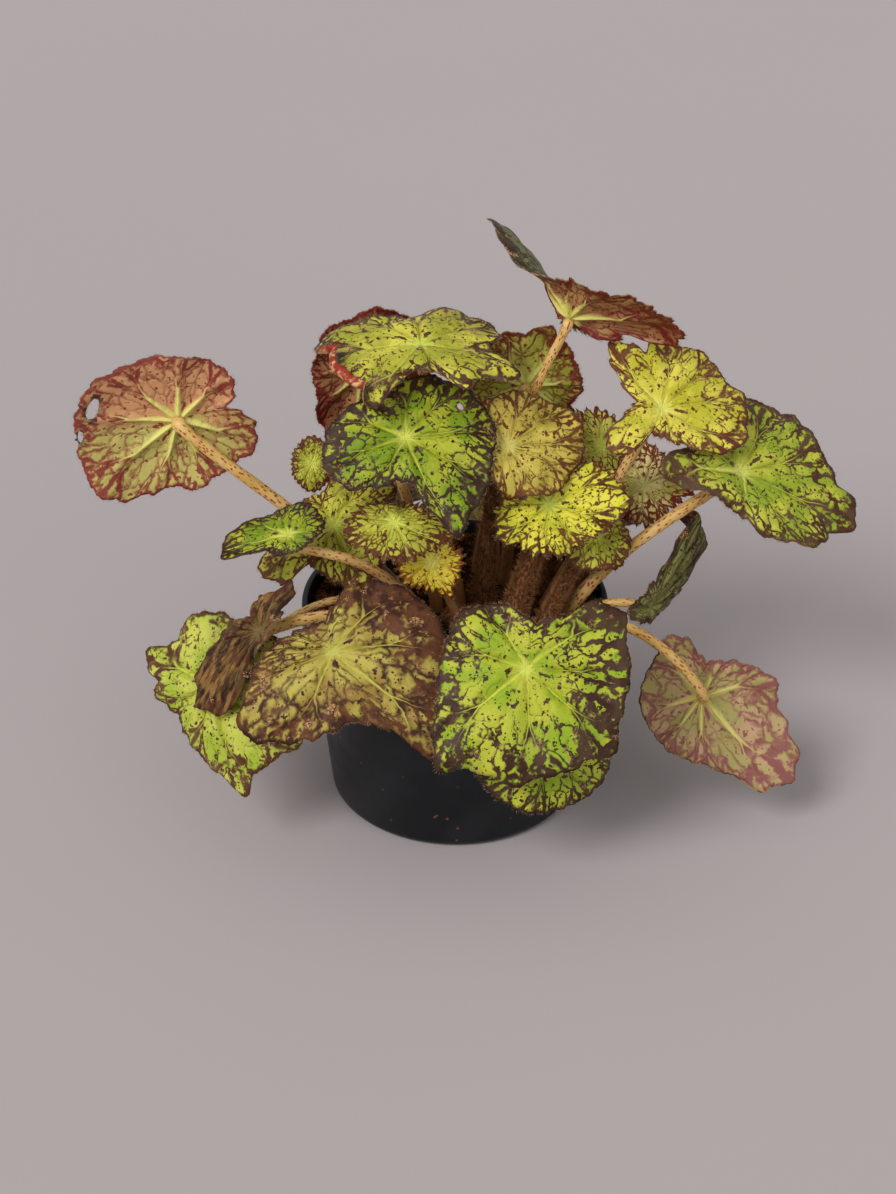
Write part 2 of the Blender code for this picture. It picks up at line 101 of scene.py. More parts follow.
RHIZOME = ((-3, -3, 74), (0, -4, 78), (4, -5, 80), (9, -7, 80.5), (13, -11, 79), (15, -16, 74))
RHIZOME_RADIUS = 3.4
RHIZOME_KNOTS = (0.8, 1.1, 0.95, 1.15, 1.0, 0.8)  # its thicker and thinner places
RHIZOME_BUMPS = 0.35  # of its radius
RHIZOME_STEPS = 6  # points for each piece of its line

BLADE_THICKNESS = 0.8  # of the plain solid, which sets where the stalk ends
ROOT_DEPTH = 9.0
PETIOLE_NECK = 1.5  # straight end under the blade
PETIOLE_BUMPS = 0.12
FOOT_FLARE = (0.28, 0.05, 0.4)  # how much wider, and over which share of the stalk it ends
NECK_FLARE = (0.2, 0.86, 0.97)
SLIM = 0.9  # share of the plain solid's radius midway

TOOTH_COUNT = 27
SMALL_TEETH = 3  # for each large one
ROUGH_MARGIN = 0.015  # share of the reach
LARGE_LEAF = 22.0  # mean reach from which a leaf gets the fine grid
FULL_RELIEF = 30.0  # mean reach from which a leaf has its whole relief
TOOTH_COLUMNS = 12  # columns of the fine grid for each large tooth
RING_CROWDING = 0.85  # below 1, rings stand closer near the margin
TOOTH_FADE = 7  # power of the share at which teeth fade inwards
PUCKER_SPACING = 4.5
WAVE_SPACING = 12.0
CURL_FADE = 14  # degrees over which a rolled margin starts and ends
HOLE_PULL = 1.8  # times a hole's size within which its rim is drawn round
HOLE_BORDER = 1.4  # times its size to which the dry rim reaches
UNDERSIDE_MATERIAL, RIM_MATERIAL = 1, 2  # places in a blade's list

FORK = 0.48  # share of the reach at which a main vein forks
TWIG_FORK = 0.7  # and at which its branches do
FORK_SPREAD = 0.5

BRISTLE_RANGE = (0.4, 1.1)  # share of a hair's length
BRISTLE_LIFT = (-0.4, 0.6)  # from the leaf's margin to its upper side
BRISTLE_SPREAD = 0.5
DOWN_RANGE = (0.3, 0.9)
DOWN_SPREAD = 0.55
STALK_HAIR_RANGE = (0.5, 1.2)
STALK_HAIR_SPREAD = 0.35
HAIR_ROOT = 0.95  # of the stalk's radius
HAIR_LEAN = 0.2  # along the stalk
SHAG_LEAN = 0.6
SHAG_STOUTNESS = 1.4  # radius of a brown hair, in those of a leaf's hair
RHIZOME_STOUTNESS = 1.6

# the stage, in metres
FLOOR_RADIUS = 6
FLOOR_SIDES = 96
LIGHTS = (  # name, place, width in the sky, power
    ("key", (-0.8, -1.0, 1.4), 24, 1.65),
    ("fill", (0.9, -1.2, 0.6), 60, 0.5),
    ("side", (-1.5, -0.6, 0.3), 40, 0.5),
)
LIGHT_AIM = (0, 0, 0.1)
SKY = 0.5
CAMERA_AIM = (-0.0027, 0, 0.085)
CAMERA_RAISE = 0.0006  # of the aim along the picture's height


class Look(NamedTuple):
    """Colours of one kind of leaf, as 0 to 255 on a screen, and how strong its marks are.

    green, deep: the pale fields of the upper side. dark, haze: its net and margin.
    under, under_deep: the fields of the underside. stain: the net seen from below.
    net, edge, dots, scars: how far the net spreads, width of the dark margin in millimetres,
    share of cells with a dot, strength of the dry scars. soft: blur of the marks.
    dry: share of the marks that turn into streaks along the leaf.
    """

    green: tuple
    deep: tuple
    dark: tuple = (59, 34, 22)
    haze: tuple = (77, 54, 38)
    vein: tuple = (208, 214, 90)
    under: tuple = (184, 148, 104)
    under_deep: tuple = (166, 156, 88)
    stain: tuple = (112, 52, 46)
    under_vein: tuple = (206, 200, 108)
    net: float = 1.0
    edge: float = 2.0
    dots: float = 0.6
    scars: float = 0.5
    soft: float = 0.04
    dry: float = 0.0


MATURE = Look((184, 186, 56), (142, 168, 32))
SHADED = Look((174, 178, 48), (118, 146, 24), dark=(54, 32, 22), haze=(70, 52, 37), net=1.15,
              edge=2.2)
BRONZED = Look((182, 168, 76), (152, 124, 58), dark=(62, 30, 20), haze=(98, 58, 34),
               vein=(198, 192, 92), net=1.65, edge=2.6, scars=1.0, dots=0.5, soft=0.11)
GILDED = Look((220, 208, 78), (188, 184, 46), dark=(97, 49, 28), haze=(112, 71, 43),
              vein=(230, 226, 112), net=0.85, edge=1.6, dots=0.7)
SPLIT = Look((206, 198, 72), (162, 162, 46), dark=(72, 40, 27), haze=(94, 67, 46),
             under=(232, 192, 132), under_deep=(214, 150, 104), stain=(150, 44, 34), net=0.85,
             edge=1.3, scars=0.8)
DOTTED = Look((190, 192, 62), (142, 162, 38), dark=(76, 44, 28), haze=(90, 66, 44),
              vein=(210, 212, 104), net=1.15, edge=2.6, dots=0.85)
YELLOW = Look((222, 214, 64), (188, 190, 42), dark=(79, 42, 18), haze=(106, 66, 30), net=1.0,
              edge=1.2, scars=0.1, dots=0.7)
NEW = Look((244, 220, 74), (222, 200, 54), dark=(135, 71, 22), haze=(151, 87, 34),
           vein=(244, 232, 110), net=0.6, edge=1.2, dots=0.3, scars=0.0)
OLIVE = Look((206, 186, 84), (174, 158, 60), dark=(101, 55, 25), haze=(119, 76, 41),
             vein=(216, 204, 110), net=0.8, edge=1.2, scars=0.1)
SPRIG = Look((194, 192, 66), (160, 162, 46), dark=(85, 40, 22), haze=(101, 57, 33), net=1.25,
             edge=1.6, scars=0.2)
CREAM = Look((226, 210, 140), (176, 168, 80), dark=(115, 35, 24), haze=(113, 50, 31),
             vein=(208, 200, 128), under=(214, 190, 132), under_deep=(190, 176, 88),
             stain=(132, 48, 40), net=1.5, edge=1.6, scars=0.1)
RUSTY = Look((200, 194, 84), (156, 158, 54), dark=(101, 39, 24), haze=(99, 50, 30), net=1.35,
             edge=1.6, scars=0.1)
DRIED = Look((144, 108, 56), (90, 66, 38), dark=(47, 24, 13), haze=(88, 45, 27),
             vein=(120, 98, 58), under=(150, 106, 62), under_deep=(98, 66, 38),
             stain=(66, 30, 22), under_vein=(124, 98, 58), net=1.5, edge=1.5, scars=1.0,
             soft=0.08, dry=0.85)
PLAIN = Look((196, 198, 82), (160, 178, 52), dark=(83, 47, 27), haze=(99, 67, 43), net=0.35,
             edge=1.4)
DUSKY = Look((126, 126, 66), (94, 96, 46), dark=(54, 37, 24), haze=(76, 54, 34),
             vein=(132, 130, 72), under=(120, 92, 60), stain=(84, 40, 34), net=1.7, edge=2.0,
             scars=1.0, soft=0.06)
ROSY = Look((96, 104, 56), (76, 84, 40), under=(206, 152, 106), under_deep=(192, 180, 100),
            stain=(138, 60, 52), under_vein=(228, 222, 124), net=1.0, edge=1.6)
PALE_BACK = Look((78, 84, 46), (60, 62, 38), dark=(43, 34, 24), haze=(54, 42, 31),
                 under=(184, 150, 112), under_deep=(162, 152, 88), stain=(136, 82, 76),
                 under_vein=(206, 196, 110), net=1.3, edge=1.8)
GREEN_BACK = Look((150, 160, 50), (112, 130, 30), under=(188, 188, 84), under_deep=(150, 150, 54),
                  stain=(112, 46, 34), under_vein=(216, 216, 116), net=1.25, edge=2.0)
CRIMSON = Look((108, 108, 72), (80, 84, 50), dark=(54, 40, 28), haze=(68, 52, 37),
               vein=(124, 124, 84), under=(176, 132, 84), under_deep=(148, 98, 66),
               stain=(108, 30, 26), under_vein=(214, 208, 110), net=1.4, edge=1.8, scars=1.0)


@dataclass
class Leaf:
    """One leaf: where its blade stands, which way it looks, its margin, and how it is bent.

    hub: the petiole's joint in the blade. faces: azimuth and elevation of the upper side, azimuth
    0 towards the front and 90 to the right. tip: turn of the leaf's tip round that direction, 0 to
    the side of growing azimuth and 90 uphill. margin: (angle from the tip, reach from the hub) of
    each lobe and notch, anticlockwise as the upper side is seen, with the sinus near 180.
    dome: rise of the margin. waves: number and height of the waves in the margin.
    folds: (direction from the tip, start, length, angle) of each bend down from a straight line.
    twists: (direction from the tip, start, length, angle) of each turn about that direction.
    curls: (first angle, last angle, width, turn) of each stretch of margin that rolls under, or
    over where the turn is negative.
    holes: (angle from the tip, reach, length, width) of each hole. veins: their angles.
    dusk, drift: direction and strength of the dark marks' spread and of the second field
    colour; on front_right the spread is painted shade on the upper right margin.
    crumple, teeth, fuzz: strength of its relief, size of its teeth, density of its short hairs.
    root: where the petiole leaves the soil. lean: its tilt there. rise, reach: its two handles.
    stem: radius of the petiole's solid. shag: density of brown hair on it.
    """

    name: str
    look: Look
    hub: tuple
    faces: tuple
    tip: float
    margin: tuple
    dome: float = -0.06
    waves: tuple = (5, 0.03)
    folds: tuple = ()
    twists: tuple = ()
    curls: tuple = ()
    holes: tuple = ()
    veins: tuple = (-148, -102, -60, -19, 23, 64, 106, 149)
    dusk: tuple = (0, 0)
    drift: tuple = (0, 0)
    crumple: float = 1
    teeth: float = 0.6
    fuzz: float = 1
    root: tuple = (0, 0)
    lean: float = 30
    rise: float = 40
    reach: float = 25
    stem: float = 2.2
    shag: int = 0

    def __post_init__(self):
        self.hub = Vector(self.hub)
        azimuth, elevation = (math.radians(angle) for angle in self.faces)
        self.up = Vector((math.sin(azimuth) * math.cos(elevation),
                          -math.cos(azimuth) * math.cos(elevation),
                          math.sin(elevation)))
        level = Vector((math.cos(azimuth), math.sin(azimuth), 0))
        turn = math.radians(self.tip)
        self.ahead = level * math.cos(turn) + self.up.cross(level) * math.sin(turn)
        self.left = self.up.cross(self.ahead)
        self.size = sum(reach for _, reach in self.margin) / len(self.margin)
        self.veins = sorted(self.veins)


LEAVES = [
    Leaf("far_left", ROSY, (-107, 24, 151), (190, 0), -15,
         ((180, 20), (170, 25), (155, 28), (120, 29), (79, 31), (61, 34), (49, 39), (34, 40),
          (22, 40), (8, 40), (-11, 41), (-20, 43), (-38, 40), (-52, 33), (-68, 28), (-86, 30),
          (-104, 27), (-122, 29), (-138, 33), (-160, 30), (-172, 25)),
         veins=(-146, -100, -58, -20, 24, 60, 108, 150), drift=(-75, 1.0),
         holes=((32, 34, 5, 10), (12, 38, 2.5, 6)),
         root=(-22, 18), lean=48, rise=34, reach=8, stem=2.6),
    Leaf("top_left", SPLIT, (-13, 18, 187), (-20, 82), 198,
         ((176, 27), (172, 31), (166, 37), (160, 40), (151, 38), (145, 30), (136, 28), (128, 30),
          (118, 19), (110, 16), (80, 16), (70, 24), (58, 40), (42, 42), (20, 43), (0, 40),
          (-20, 43), (-40, 31), (-60, 26), (-80, 25), (-120, 29), (-155, 32), (-163, 31),
          (-174, 25)),
         veins=(-144, -84, -46, -2, 58, 112, 170), curls=((-6, 64, 12, -150),), dusk=(90, 0.05),
         dome=-0.1, fuzz=2, root=(0, 16), lean=8, rise=50, reach=25),
    Leaf("top_left_rear", CRIMSON, (-36, 54, 156), (190, 0), -60,
         ((0, 29), (45, 20), (80, 21), (120, 26), (140, 25), (162, 31), (-170, 30), (-140, 26),
          (-100, 27), (-60, 30), (-30, 28)),
         root=(-10, 27), lean=20, rise=40, reach=12),
    Leaf("upper_middle", SHADED, (-19, -5, 160), (5, 50), -57,
         ((180, 17), (165, 20), (140, 25), (115, 29), (90, 33), (65, 35), (42, 34), (20, 36),
          (4, 38), (-8, 43), (-18, 30), (-26, 18), (-46, 17), (-66, 22), (-85, 30), (-108, 32),
          (-130, 30), (-150, 26), (-170, 23)),
         veins=(-150, -108, -64, -12, 27, 63, 102, 140), dusk=(-160, 0.06),
         holes=((86, 25, 2.4, 3.4),),
         root=(2, 6), lean=8, rise=40, reach=20),
    Leaf("top_rear", GREEN_BACK, (28, 46, 154), (170, 0), -90,
         ((0, 28), (40, 24), (80, 25), (115, 27), (143, 24), (160, 25), (176, 24), (-162, 31),
          (-148, 27), (-120, 23), (-100, 23), (-76, 19), (-61, 22), (-40, 25)),
         root=(20, 27), lean=12, rise=40, reach=8),
    Leaf("summit", CRIMSON, (43, 24, 195), (165, 30), 15,
         ((0, 52), (6, 50), (11, 44), (17, 34), (30, 22), (60, 20), (102, 28), (129, 38),
          (142, 41), (160, 44), (171, 43), (178, 22), (-150, 8), (-100, 5), (-60, 6), (-30, 15),
          (-16, 33), (-10, 43), (-5, 50)),
         folds=((0, -4, 10, -50),), twists=((0, 5, 20, -45),), teeth=2.2, fuzz=4,
         root=(9, 34), lean=5, rise=50, reach=2, stem=1.9),
    Leaf("middle_rear", OLIVE, (20, 3, 152), (16, 50), 20,
         ((0, 31), (40, 23), (80, 20), (120, 17), (150, 14), (-160, 15), (-110, 20), (-60, 26),
          (-25, 31)),
         veins=(-140, -90, -50, -25, 8, 40, 100), crumple=4,
         root=(11, 6), lean=3, rise=30, reach=22, stem=3.6, shag=3),
    Leaf("middle_right", YELLOW, (36, -2, 129), (0, 45), -80,
         ((0, 21), (30, 20), (60, 26), (80, 31), (100, 28), (120, 25), (140, 18), (170, 17),
          (-160, 17), (-140, 18), (-100, 20), (-62, 24), (-45, 20), (-20, 21)),
         dome=0.12, waves=(7, 0.05), holes=((-114, 11, 3, 2),), teeth=1.7, crumple=1.8,
         root=(22, -8), lean=12, rise=22, reach=12, stem=3.8, shag=3),
    Leaf("under_middle_right", SPRIG, (54, -1, 115), (20, 40), -30,
         ((0, 15), (50, 13), (100, 15), (150, 14), (-160, 13), (-110, 15), (-60, 14), (-30, 16)),
         root=(33, -9), lean=30, rise=20, reach=8, shag=2),
    Leaf("right_inner", RUSTY, (57, 29, 137), (10, 50), 60,
         ((0, 14), (30, 16), (70, 17), (120, 16), (160, 14), (-150, 13), (-105, 11), (-60, 10),
          (-25, 12)),
         teeth=1.8, crumple=1.8, root=(34, 20), lean=20, rise=25, reach=10, shag=2),
    Leaf("right_shelf", CREAM, (74, 24, 122), (20, 55), -10,
         ((0, 22), (35, 16), (80, 20), (130, 15), (180, 12), (-140, 14), (-90, 17), (-50, 14),
          (-25, 16)),
         teeth=2, crumple=1.8, root=(43, 12), lean=30, rise=25, reach=10, shag=2),
    Leaf("upper_right", GILDED, (78, 5, 167), (20, 50), 0,
         ((180, 16), (166, 12), (150, 10), (132, 18), (120, 27), (110, 33), (98, 29), (88, 24),
          (80, 30), (60, 28), (42, 31), (14, 31), (0, 36), (-14, 35), (-30, 35), (-45, 30),
          (-58, 22), (-75, 15), (-100, 11), (-128, 11), (-142, 24), (-155, 27), (-166, 24)),
         veins=(-128, -85, -41, 0, 30, 62, 118, 156),
         root=(36, 10), lean=25, rise=40, reach=28),
    Leaf("far_right", DOTTED, (109, 4, 140), (30, 50), -15,
         ((180, 32), (170, 32), (150, 23), (108, 24), (85, 32), (62, 33), (48, 35), (38, 40),
          (20, 39), (5, 40), (-6, 42), (-12, 51), (-24, 53), (-34, 44), (-46, 42), (-60, 33),
          (-72, 28), (-92, 18), (-112, 15), (-135, 15), (-155, 18), (-170, 26)),
         veins=(-84, -52, -25, 10, 54, 112, 172), dusk=(170, 0.07),
         root=(44, 1), lean=20, rise=30, reach=11, stem=2.5),
    Leaf("edge_right", DUSKY, (75, -12, 89), (50, 10), 20,
         ((3, 59), (8, 54), (12, 44), (18, 30), (25, 17), (35, 10), (72, 7), (124, 9), (144, 13),
          (154, 12), (180, 8), (-134, 6), (-58, 9), (-40, 14), (-26, 21), (-15, 33), (-9, 44),
          (-3, 55)),
         dome=-0.02, folds=((0, 42, 7, 85),), veins=(-150, -70, -22, -9, 3, 14, 60, 140),
         root=(43, -8), lean=35, rise=20, reach=10, stem=1.9),
    Leaf("low_right", PALE_BACK, (97, -20, 52), (185, -30), -80,
         ((180, 14), (168, 17), (155, 25), (142, 28), (115, 26), (80, 27), (50, 26), (15, 27),
          (-8, 28), (-25, 33), (-42, 46), (-54, 48), (-65, 45), (-78, 36), (-92, 30), (-110, 30),
          (-122, 25), (-140, 20), (-160, 16)),
         veins=(-160, -114, -48, -6, 30, 68, 128), curls=((-60, 140, 4, 110),),
         root=(36, -18), lean=40, rise=45, reach=25, stem=2.1),
    Leaf("front_right", MATURE, (26, -64, 96), (0, 40), -104,
         ((180, 17), (168, 21), (157, 24), (147, 38), (132, 43), (118, 39), (92, 39), (75, 40),
          (60, 46), (48, 41), (35, 42), (22, 41), (7, 45), (-15, 46), (-27, 50), (-40, 43),
          (-52, 36), (-68, 33), (-95, 31), (-115, 32), (-135, 28), (-150, 25), (-163, 20)),
         # painted shade: the net's spread to one side darkens the upper right margin, which lies
         # in shade
         veins=(-136, -94, -36, 18, 62, 100, 138), dusk=(120, 0.09), curls=((-28, 12, 6, 140),),
         root=(12, -23), lean=40, rise=30, reach=10, stem=2.6),
    Leaf("front_right_lower", MATURE, (34, -70, 65), (10, 20), -80,
         ((0, 27), (40, 27), (80, 26), (120, 22), (180, 15), (-120, 22), (-80, 28), (-40, 27)),
         root=(23, -26), lean=38, rise=50, reach=6),
    Leaf("front_left", BRONZED, (-46, -56, 98), (-8, 45), -70,
         ((180, 12), (165, 17), (150, 27), (135, 32), (115, 37), (88, 42), (70, 48), (54, 48),
          (42, 55), (31, 61), (22, 36), (12, 30), (0, 27), (-14, 30), (-30, 34), (-46, 39),
          (-60, 45), (-71, 45), (-78, 38), (-88, 32), (-104, 27), (-116, 22), (-130, 17),
          (-150, 13)),
         veins=(-134, -110, -84, -36, 38, 82, 124), dusk=(110, 0.1), dome=-0.14,
         root=(-5, -21), lean=40, rise=35, reach=8, stem=2.6),
    Leaf("withered", DRIED, (-74, -38, 95), (-35, 30), -106,
         ((0, 39), (5, 37), (9, 31), (14, 20), (24, 9), (50, 6), (120, 6), (165, 12), (174, 19),
          (-175, 22), (-165, 20), (-150, 18), (-133, 16), (-112, 11), (-92, 13), (-70, 17),
          (-50, 25), (-36, 32), (-26, 36), (-12, 42)),
         dome=-0.02, curls=((-176, -24, 8, 130),), crumple=4,
         veins=(-175, -140, -90, -60, -42, -26, -12, 2, 60),
         root=(-18, -17), lean=45, rise=40, reach=8, stem=2.6),
    Leaf("low_left", PLAIN, (-93, -33, 66), (-25, 35), -60,
         ((164, 29), (-172, 30), (-154, 25), (-146, 26), (-130, 34), (-120, 30), (-110, 24),
          (-100, 26), (-86, 22), (-70, 20), (-52, 22), (-30, 26), (-14, 33), (0, 44), (10, 37),
          (25, 38), (42, 42), (70, 38), (105, 32), (140, 26)),
         veins=(-130, -84, -32, -2, 40, 90, 140),
         root=(-21, -4), lean=40, rise=55, reach=6, stem=1.6),
    Leaf("left_shelf", SHADED, (-63, -25, 129), (-40, 75), 200,
         ((180, 11), (-160, 13), (-124, 16), (-86, 20), (-62, 18), (-40, 16), (-14, 21), (5, 26),
          (30, 26), (42, 16), (60, 10), (112, 9), (160, 9)),
         root=(-9, -11), lean=25, rise=50, reach=10),
    Leaf("left_large", SPRIG, (-47, 4, 116), (-15, 50), -80,
         ((180, 20), (170, 25), (150, 26), (128, 29), (100, 22), (72, 21), (44, 26), (22, 29),
          (5, 23), (-15, 19), (-30, 18), (-42, 31), (-62, 34), (-75, 27), (-100, 24), (-130, 17),
          (-158, 15)),
         root=(-15, 2), lean=30, rise=25, reach=10),
    Leaf("left_inner", SPRIG, (-23, -20, 132), (0, 60), -90,
         ((180, 10), (160, 10), (140, 11), (116, 13), (96, 18), (78, 23), (62, 20), (42, 17),
          (10, 16), (-45, 16), (-70, 19), (-90, 18), (-118, 15), (-146, 12)),
         teeth=1.8, crumple=1.8,
         root=(-7, 3), lean=10, rise=30, reach=14),
    Leaf("new_yellow", NEW, (-9, -20, 115), (10, 20), -90,
         ((180, 9), (158, 9), (122, 10), (94, 12), (64, 12), (45, 13), (25, 16), (5, 12),
          (-20, 11), (-50, 13), (-75, 13), (-100, 12), (-130, 10), (-160, 10)),
         teeth=1.8, crumple=1.8, root=(4, -14), lean=20, rise=15, reach=5, stem=1.8, shag=1),
    Leaf("left_small", SPRIG, (-56, 31, 128), (0, 35), 180,
         ((0, 8), (40, 9), (90, 11), (140, 9), (180, 7), (-140, 9), (-90, 11), (-40, 9)),
         root=(-19, 30), lean=25, rise=30, reach=8, stem=1.7),
    Leaf("rear_left", MATURE, (-15, 72, 98), (195, 45), -90,
         ((0, 36), (30, 28), (70, 31), (110, 27), (150, 27), (180, 18), (-150, 25), (-110, 29),
          (-70, 27), (-30, 31)),
         root=(-2, 35), lean=30, rise=30, reach=8),
    Leaf("rear_right", SHADED, (50, 66, 92), (155, 45), -90,
         ((0, 34), (30, 30), (70, 27), (110, 29), (150, 25), (180, 16), (-150, 27), (-110, 25),
          (-70, 30), (-30, 28)),
         root=(35, 30), lean=30, rise=25, reach=6),
    Leaf("rear_low", BRONZED, (12, 92, 62), (180, 15), -80,
         ((0, 38), (30, 30), (70, 33), (110, 30), (150, 28), (180, 17), (-150, 26), (-110, 30),
          (-70, 31), (-30, 33)),
         root=(16, 37), lean=38, rise=50, reach=6),
]


def screen(red, green, blue):
    """A colour given as 0 to 255 on a screen, in Blender's linear values with its alpha."""
    return (*Color((red / 255, green / 255, blue / 255)).from_srgb_to_scene_linear(), 1)


def smooth_step(value, low, high):
    """0 below low, 1 above high, and a soft rise between."""
    share = min(max((value - low) / (high - low), 0), 1)
    return share * share * (3 - 2 * share)


def toward(direction):
    """Unit vector at an angle in degrees, as on the flat leaf."""
    turn = math.radians(direction)
    return Vector((math.cos(turn), math.sin(turn)))


class Socket:
    """An output of a node. Arithmetic on it adds the nodes that do it."""

    def __init__(self, build, output):
        self.build = build
        self.output = output

    def __add__(self, other):
        return self.build.math("ADD", self, other)

    def __sub__(self, other):
        return self.build.math("SUBTRACT", self, other)

    def __rsub__(self, other):
        return self.build.math("SUBTRACT", other, self)

    def __mul__(self, other):
        return self.build.math("MULTIPLY", self, other)

    def __truediv__(self, other):
        return self.build.math("DIVIDE", self, other)

    def __abs__(self):
        return self.build.math("ABSOLUTE", self)

    def at_least(self, other):
        return self.build.math("MAXIMUM", self, other)


class NodeBuilder:
    """Adds the nodes of one node tree and links them."""

    def __init__(self, tree):
        self.tree = tree

    def add(self, kind, inputs=None, **settings):
        """A new node; its outputs by name."""
        node = self.tree.nodes.new(kind)
        for name, value in settings.items():
            setattr(node, name, value)
        for socket, value in (inputs or {}).items():
            self.set(node.inputs[socket], value)
        return {made.name: Socket(self, made) for made in node.outputs if made.enabled}

    def set(self, socket, value):
        """Link a socket to an output, or give it a value."""
        if isinstance(value, Socket):
            self.tree.links.new(value.output, socket)
        else:
            socket.default_value = value

    def math(self, operation, *values):
        return self.add("ShaderNodeMath", dict(enumerate(values)), operation=operation)["Value"]

    def vector(self, operation, first, second):
        """A vector, or the number that a dot product is; SCALE takes a number as its second."""
        inputs = {0: first, "Scale" if operation == "SCALE" else 1: second}
        (made,) = self.add("ShaderNodeVectorMath", inputs, operation=operation).values()
        return made

    def length(self, vector):
        return self.add("ShaderNodeVectorMath", {0: vector}, operation="LENGTH")["Value"]

    def split(self, vector):
        """The X, Y and Z of a vector."""
        return tuple(self.add("ShaderNodeSeparateXYZ", {0: vector}).values())

    def join(self, *values):
        """A vector from its X, Y and Z."""
        return self.add("ShaderNodeCombineXYZ", dict(enumerate(values)))["Vector"]

    def change(self, value, low, high, first, last, kind="SMOOTHSTEP"):
        """first where the value is low, last where it is high, and a soft change between."""
        inputs = {"Value": value, "From Min": low, "From Max": high, "To Min": first,
                  "To Max": last}
        return self.add("ShaderNodeMapRange", inputs, interpolation_type=kind)["Result"]

    def above(self, value, low, high):
        """0 where the value is under low, 1 over high."""
        return self.change(value, low, high, 0.0, 1.0)

    def below(self, value, low, high):
        """1 where the value is under low, 0 over high."""
        return self.change(value, low, high, 1.0, 0.0)

    def mix(self, share, first, second, kind="RGBA"):
        """first where the share is 0, second where it is 1."""
        inputs = {"Factor": share, "A": first, "B": second}
        return self.add("ShaderNodeMix", inputs, data_type=kind)["Result"]

    def noise(self, vector, scale, detail=2.0, output="Fac"):
        inputs = {"Vector": vector, "Scale": scale, "Detail": detail}
        return self.add("ShaderNodeTexNoise", inputs)[output]

    def cells(self, vector, scale, feature="F1"):
        """Distance in each cell from its middle or its edge, and for F1 three random numbers."""
        made = self.add("ShaderNodeTexVoronoi", {"Vector": vector, "Scale": scale},
                        feature=feature)
        return made["Distance"], self.split(made["Color"]) if feature == "F1" else ()

    def uv(self, name):
        return self.add("ShaderNodeUVMap", uv_map=name)["UV"]

    def world(self):
        """The place on the object, which is the place in the world at rest."""
        return self.add("ShaderNodeTexCoord")["Object"]


class Finish(NodeBuilder):
    """A material with its nodes and its shader."""

    def __init__(self, name, roughness, specular):
        self.material = bpy.data.materials.new(name)
        self.material.use_nodes = True
        super().__init__(self.material.node_tree)
        self.shader = self.tree.nodes["Principled BSDF"].inputs
        self.shader["Roughness"].default_value = roughness
        self.shader["Specular IOR Level"].default_value = specular

    def colour(self, value):
        self.set(self.shader["Base Color"], value)

    def bump(self, height, strength, distance):
        """Relief from a height; distance is the millimetres for a height of one."""
        inputs = {"Height": height, "Strength": strength, "Distance": distance * MM}
        self.set(self.shader["Normal"], self.add("ShaderNodeBump", inputs)["Normal"])


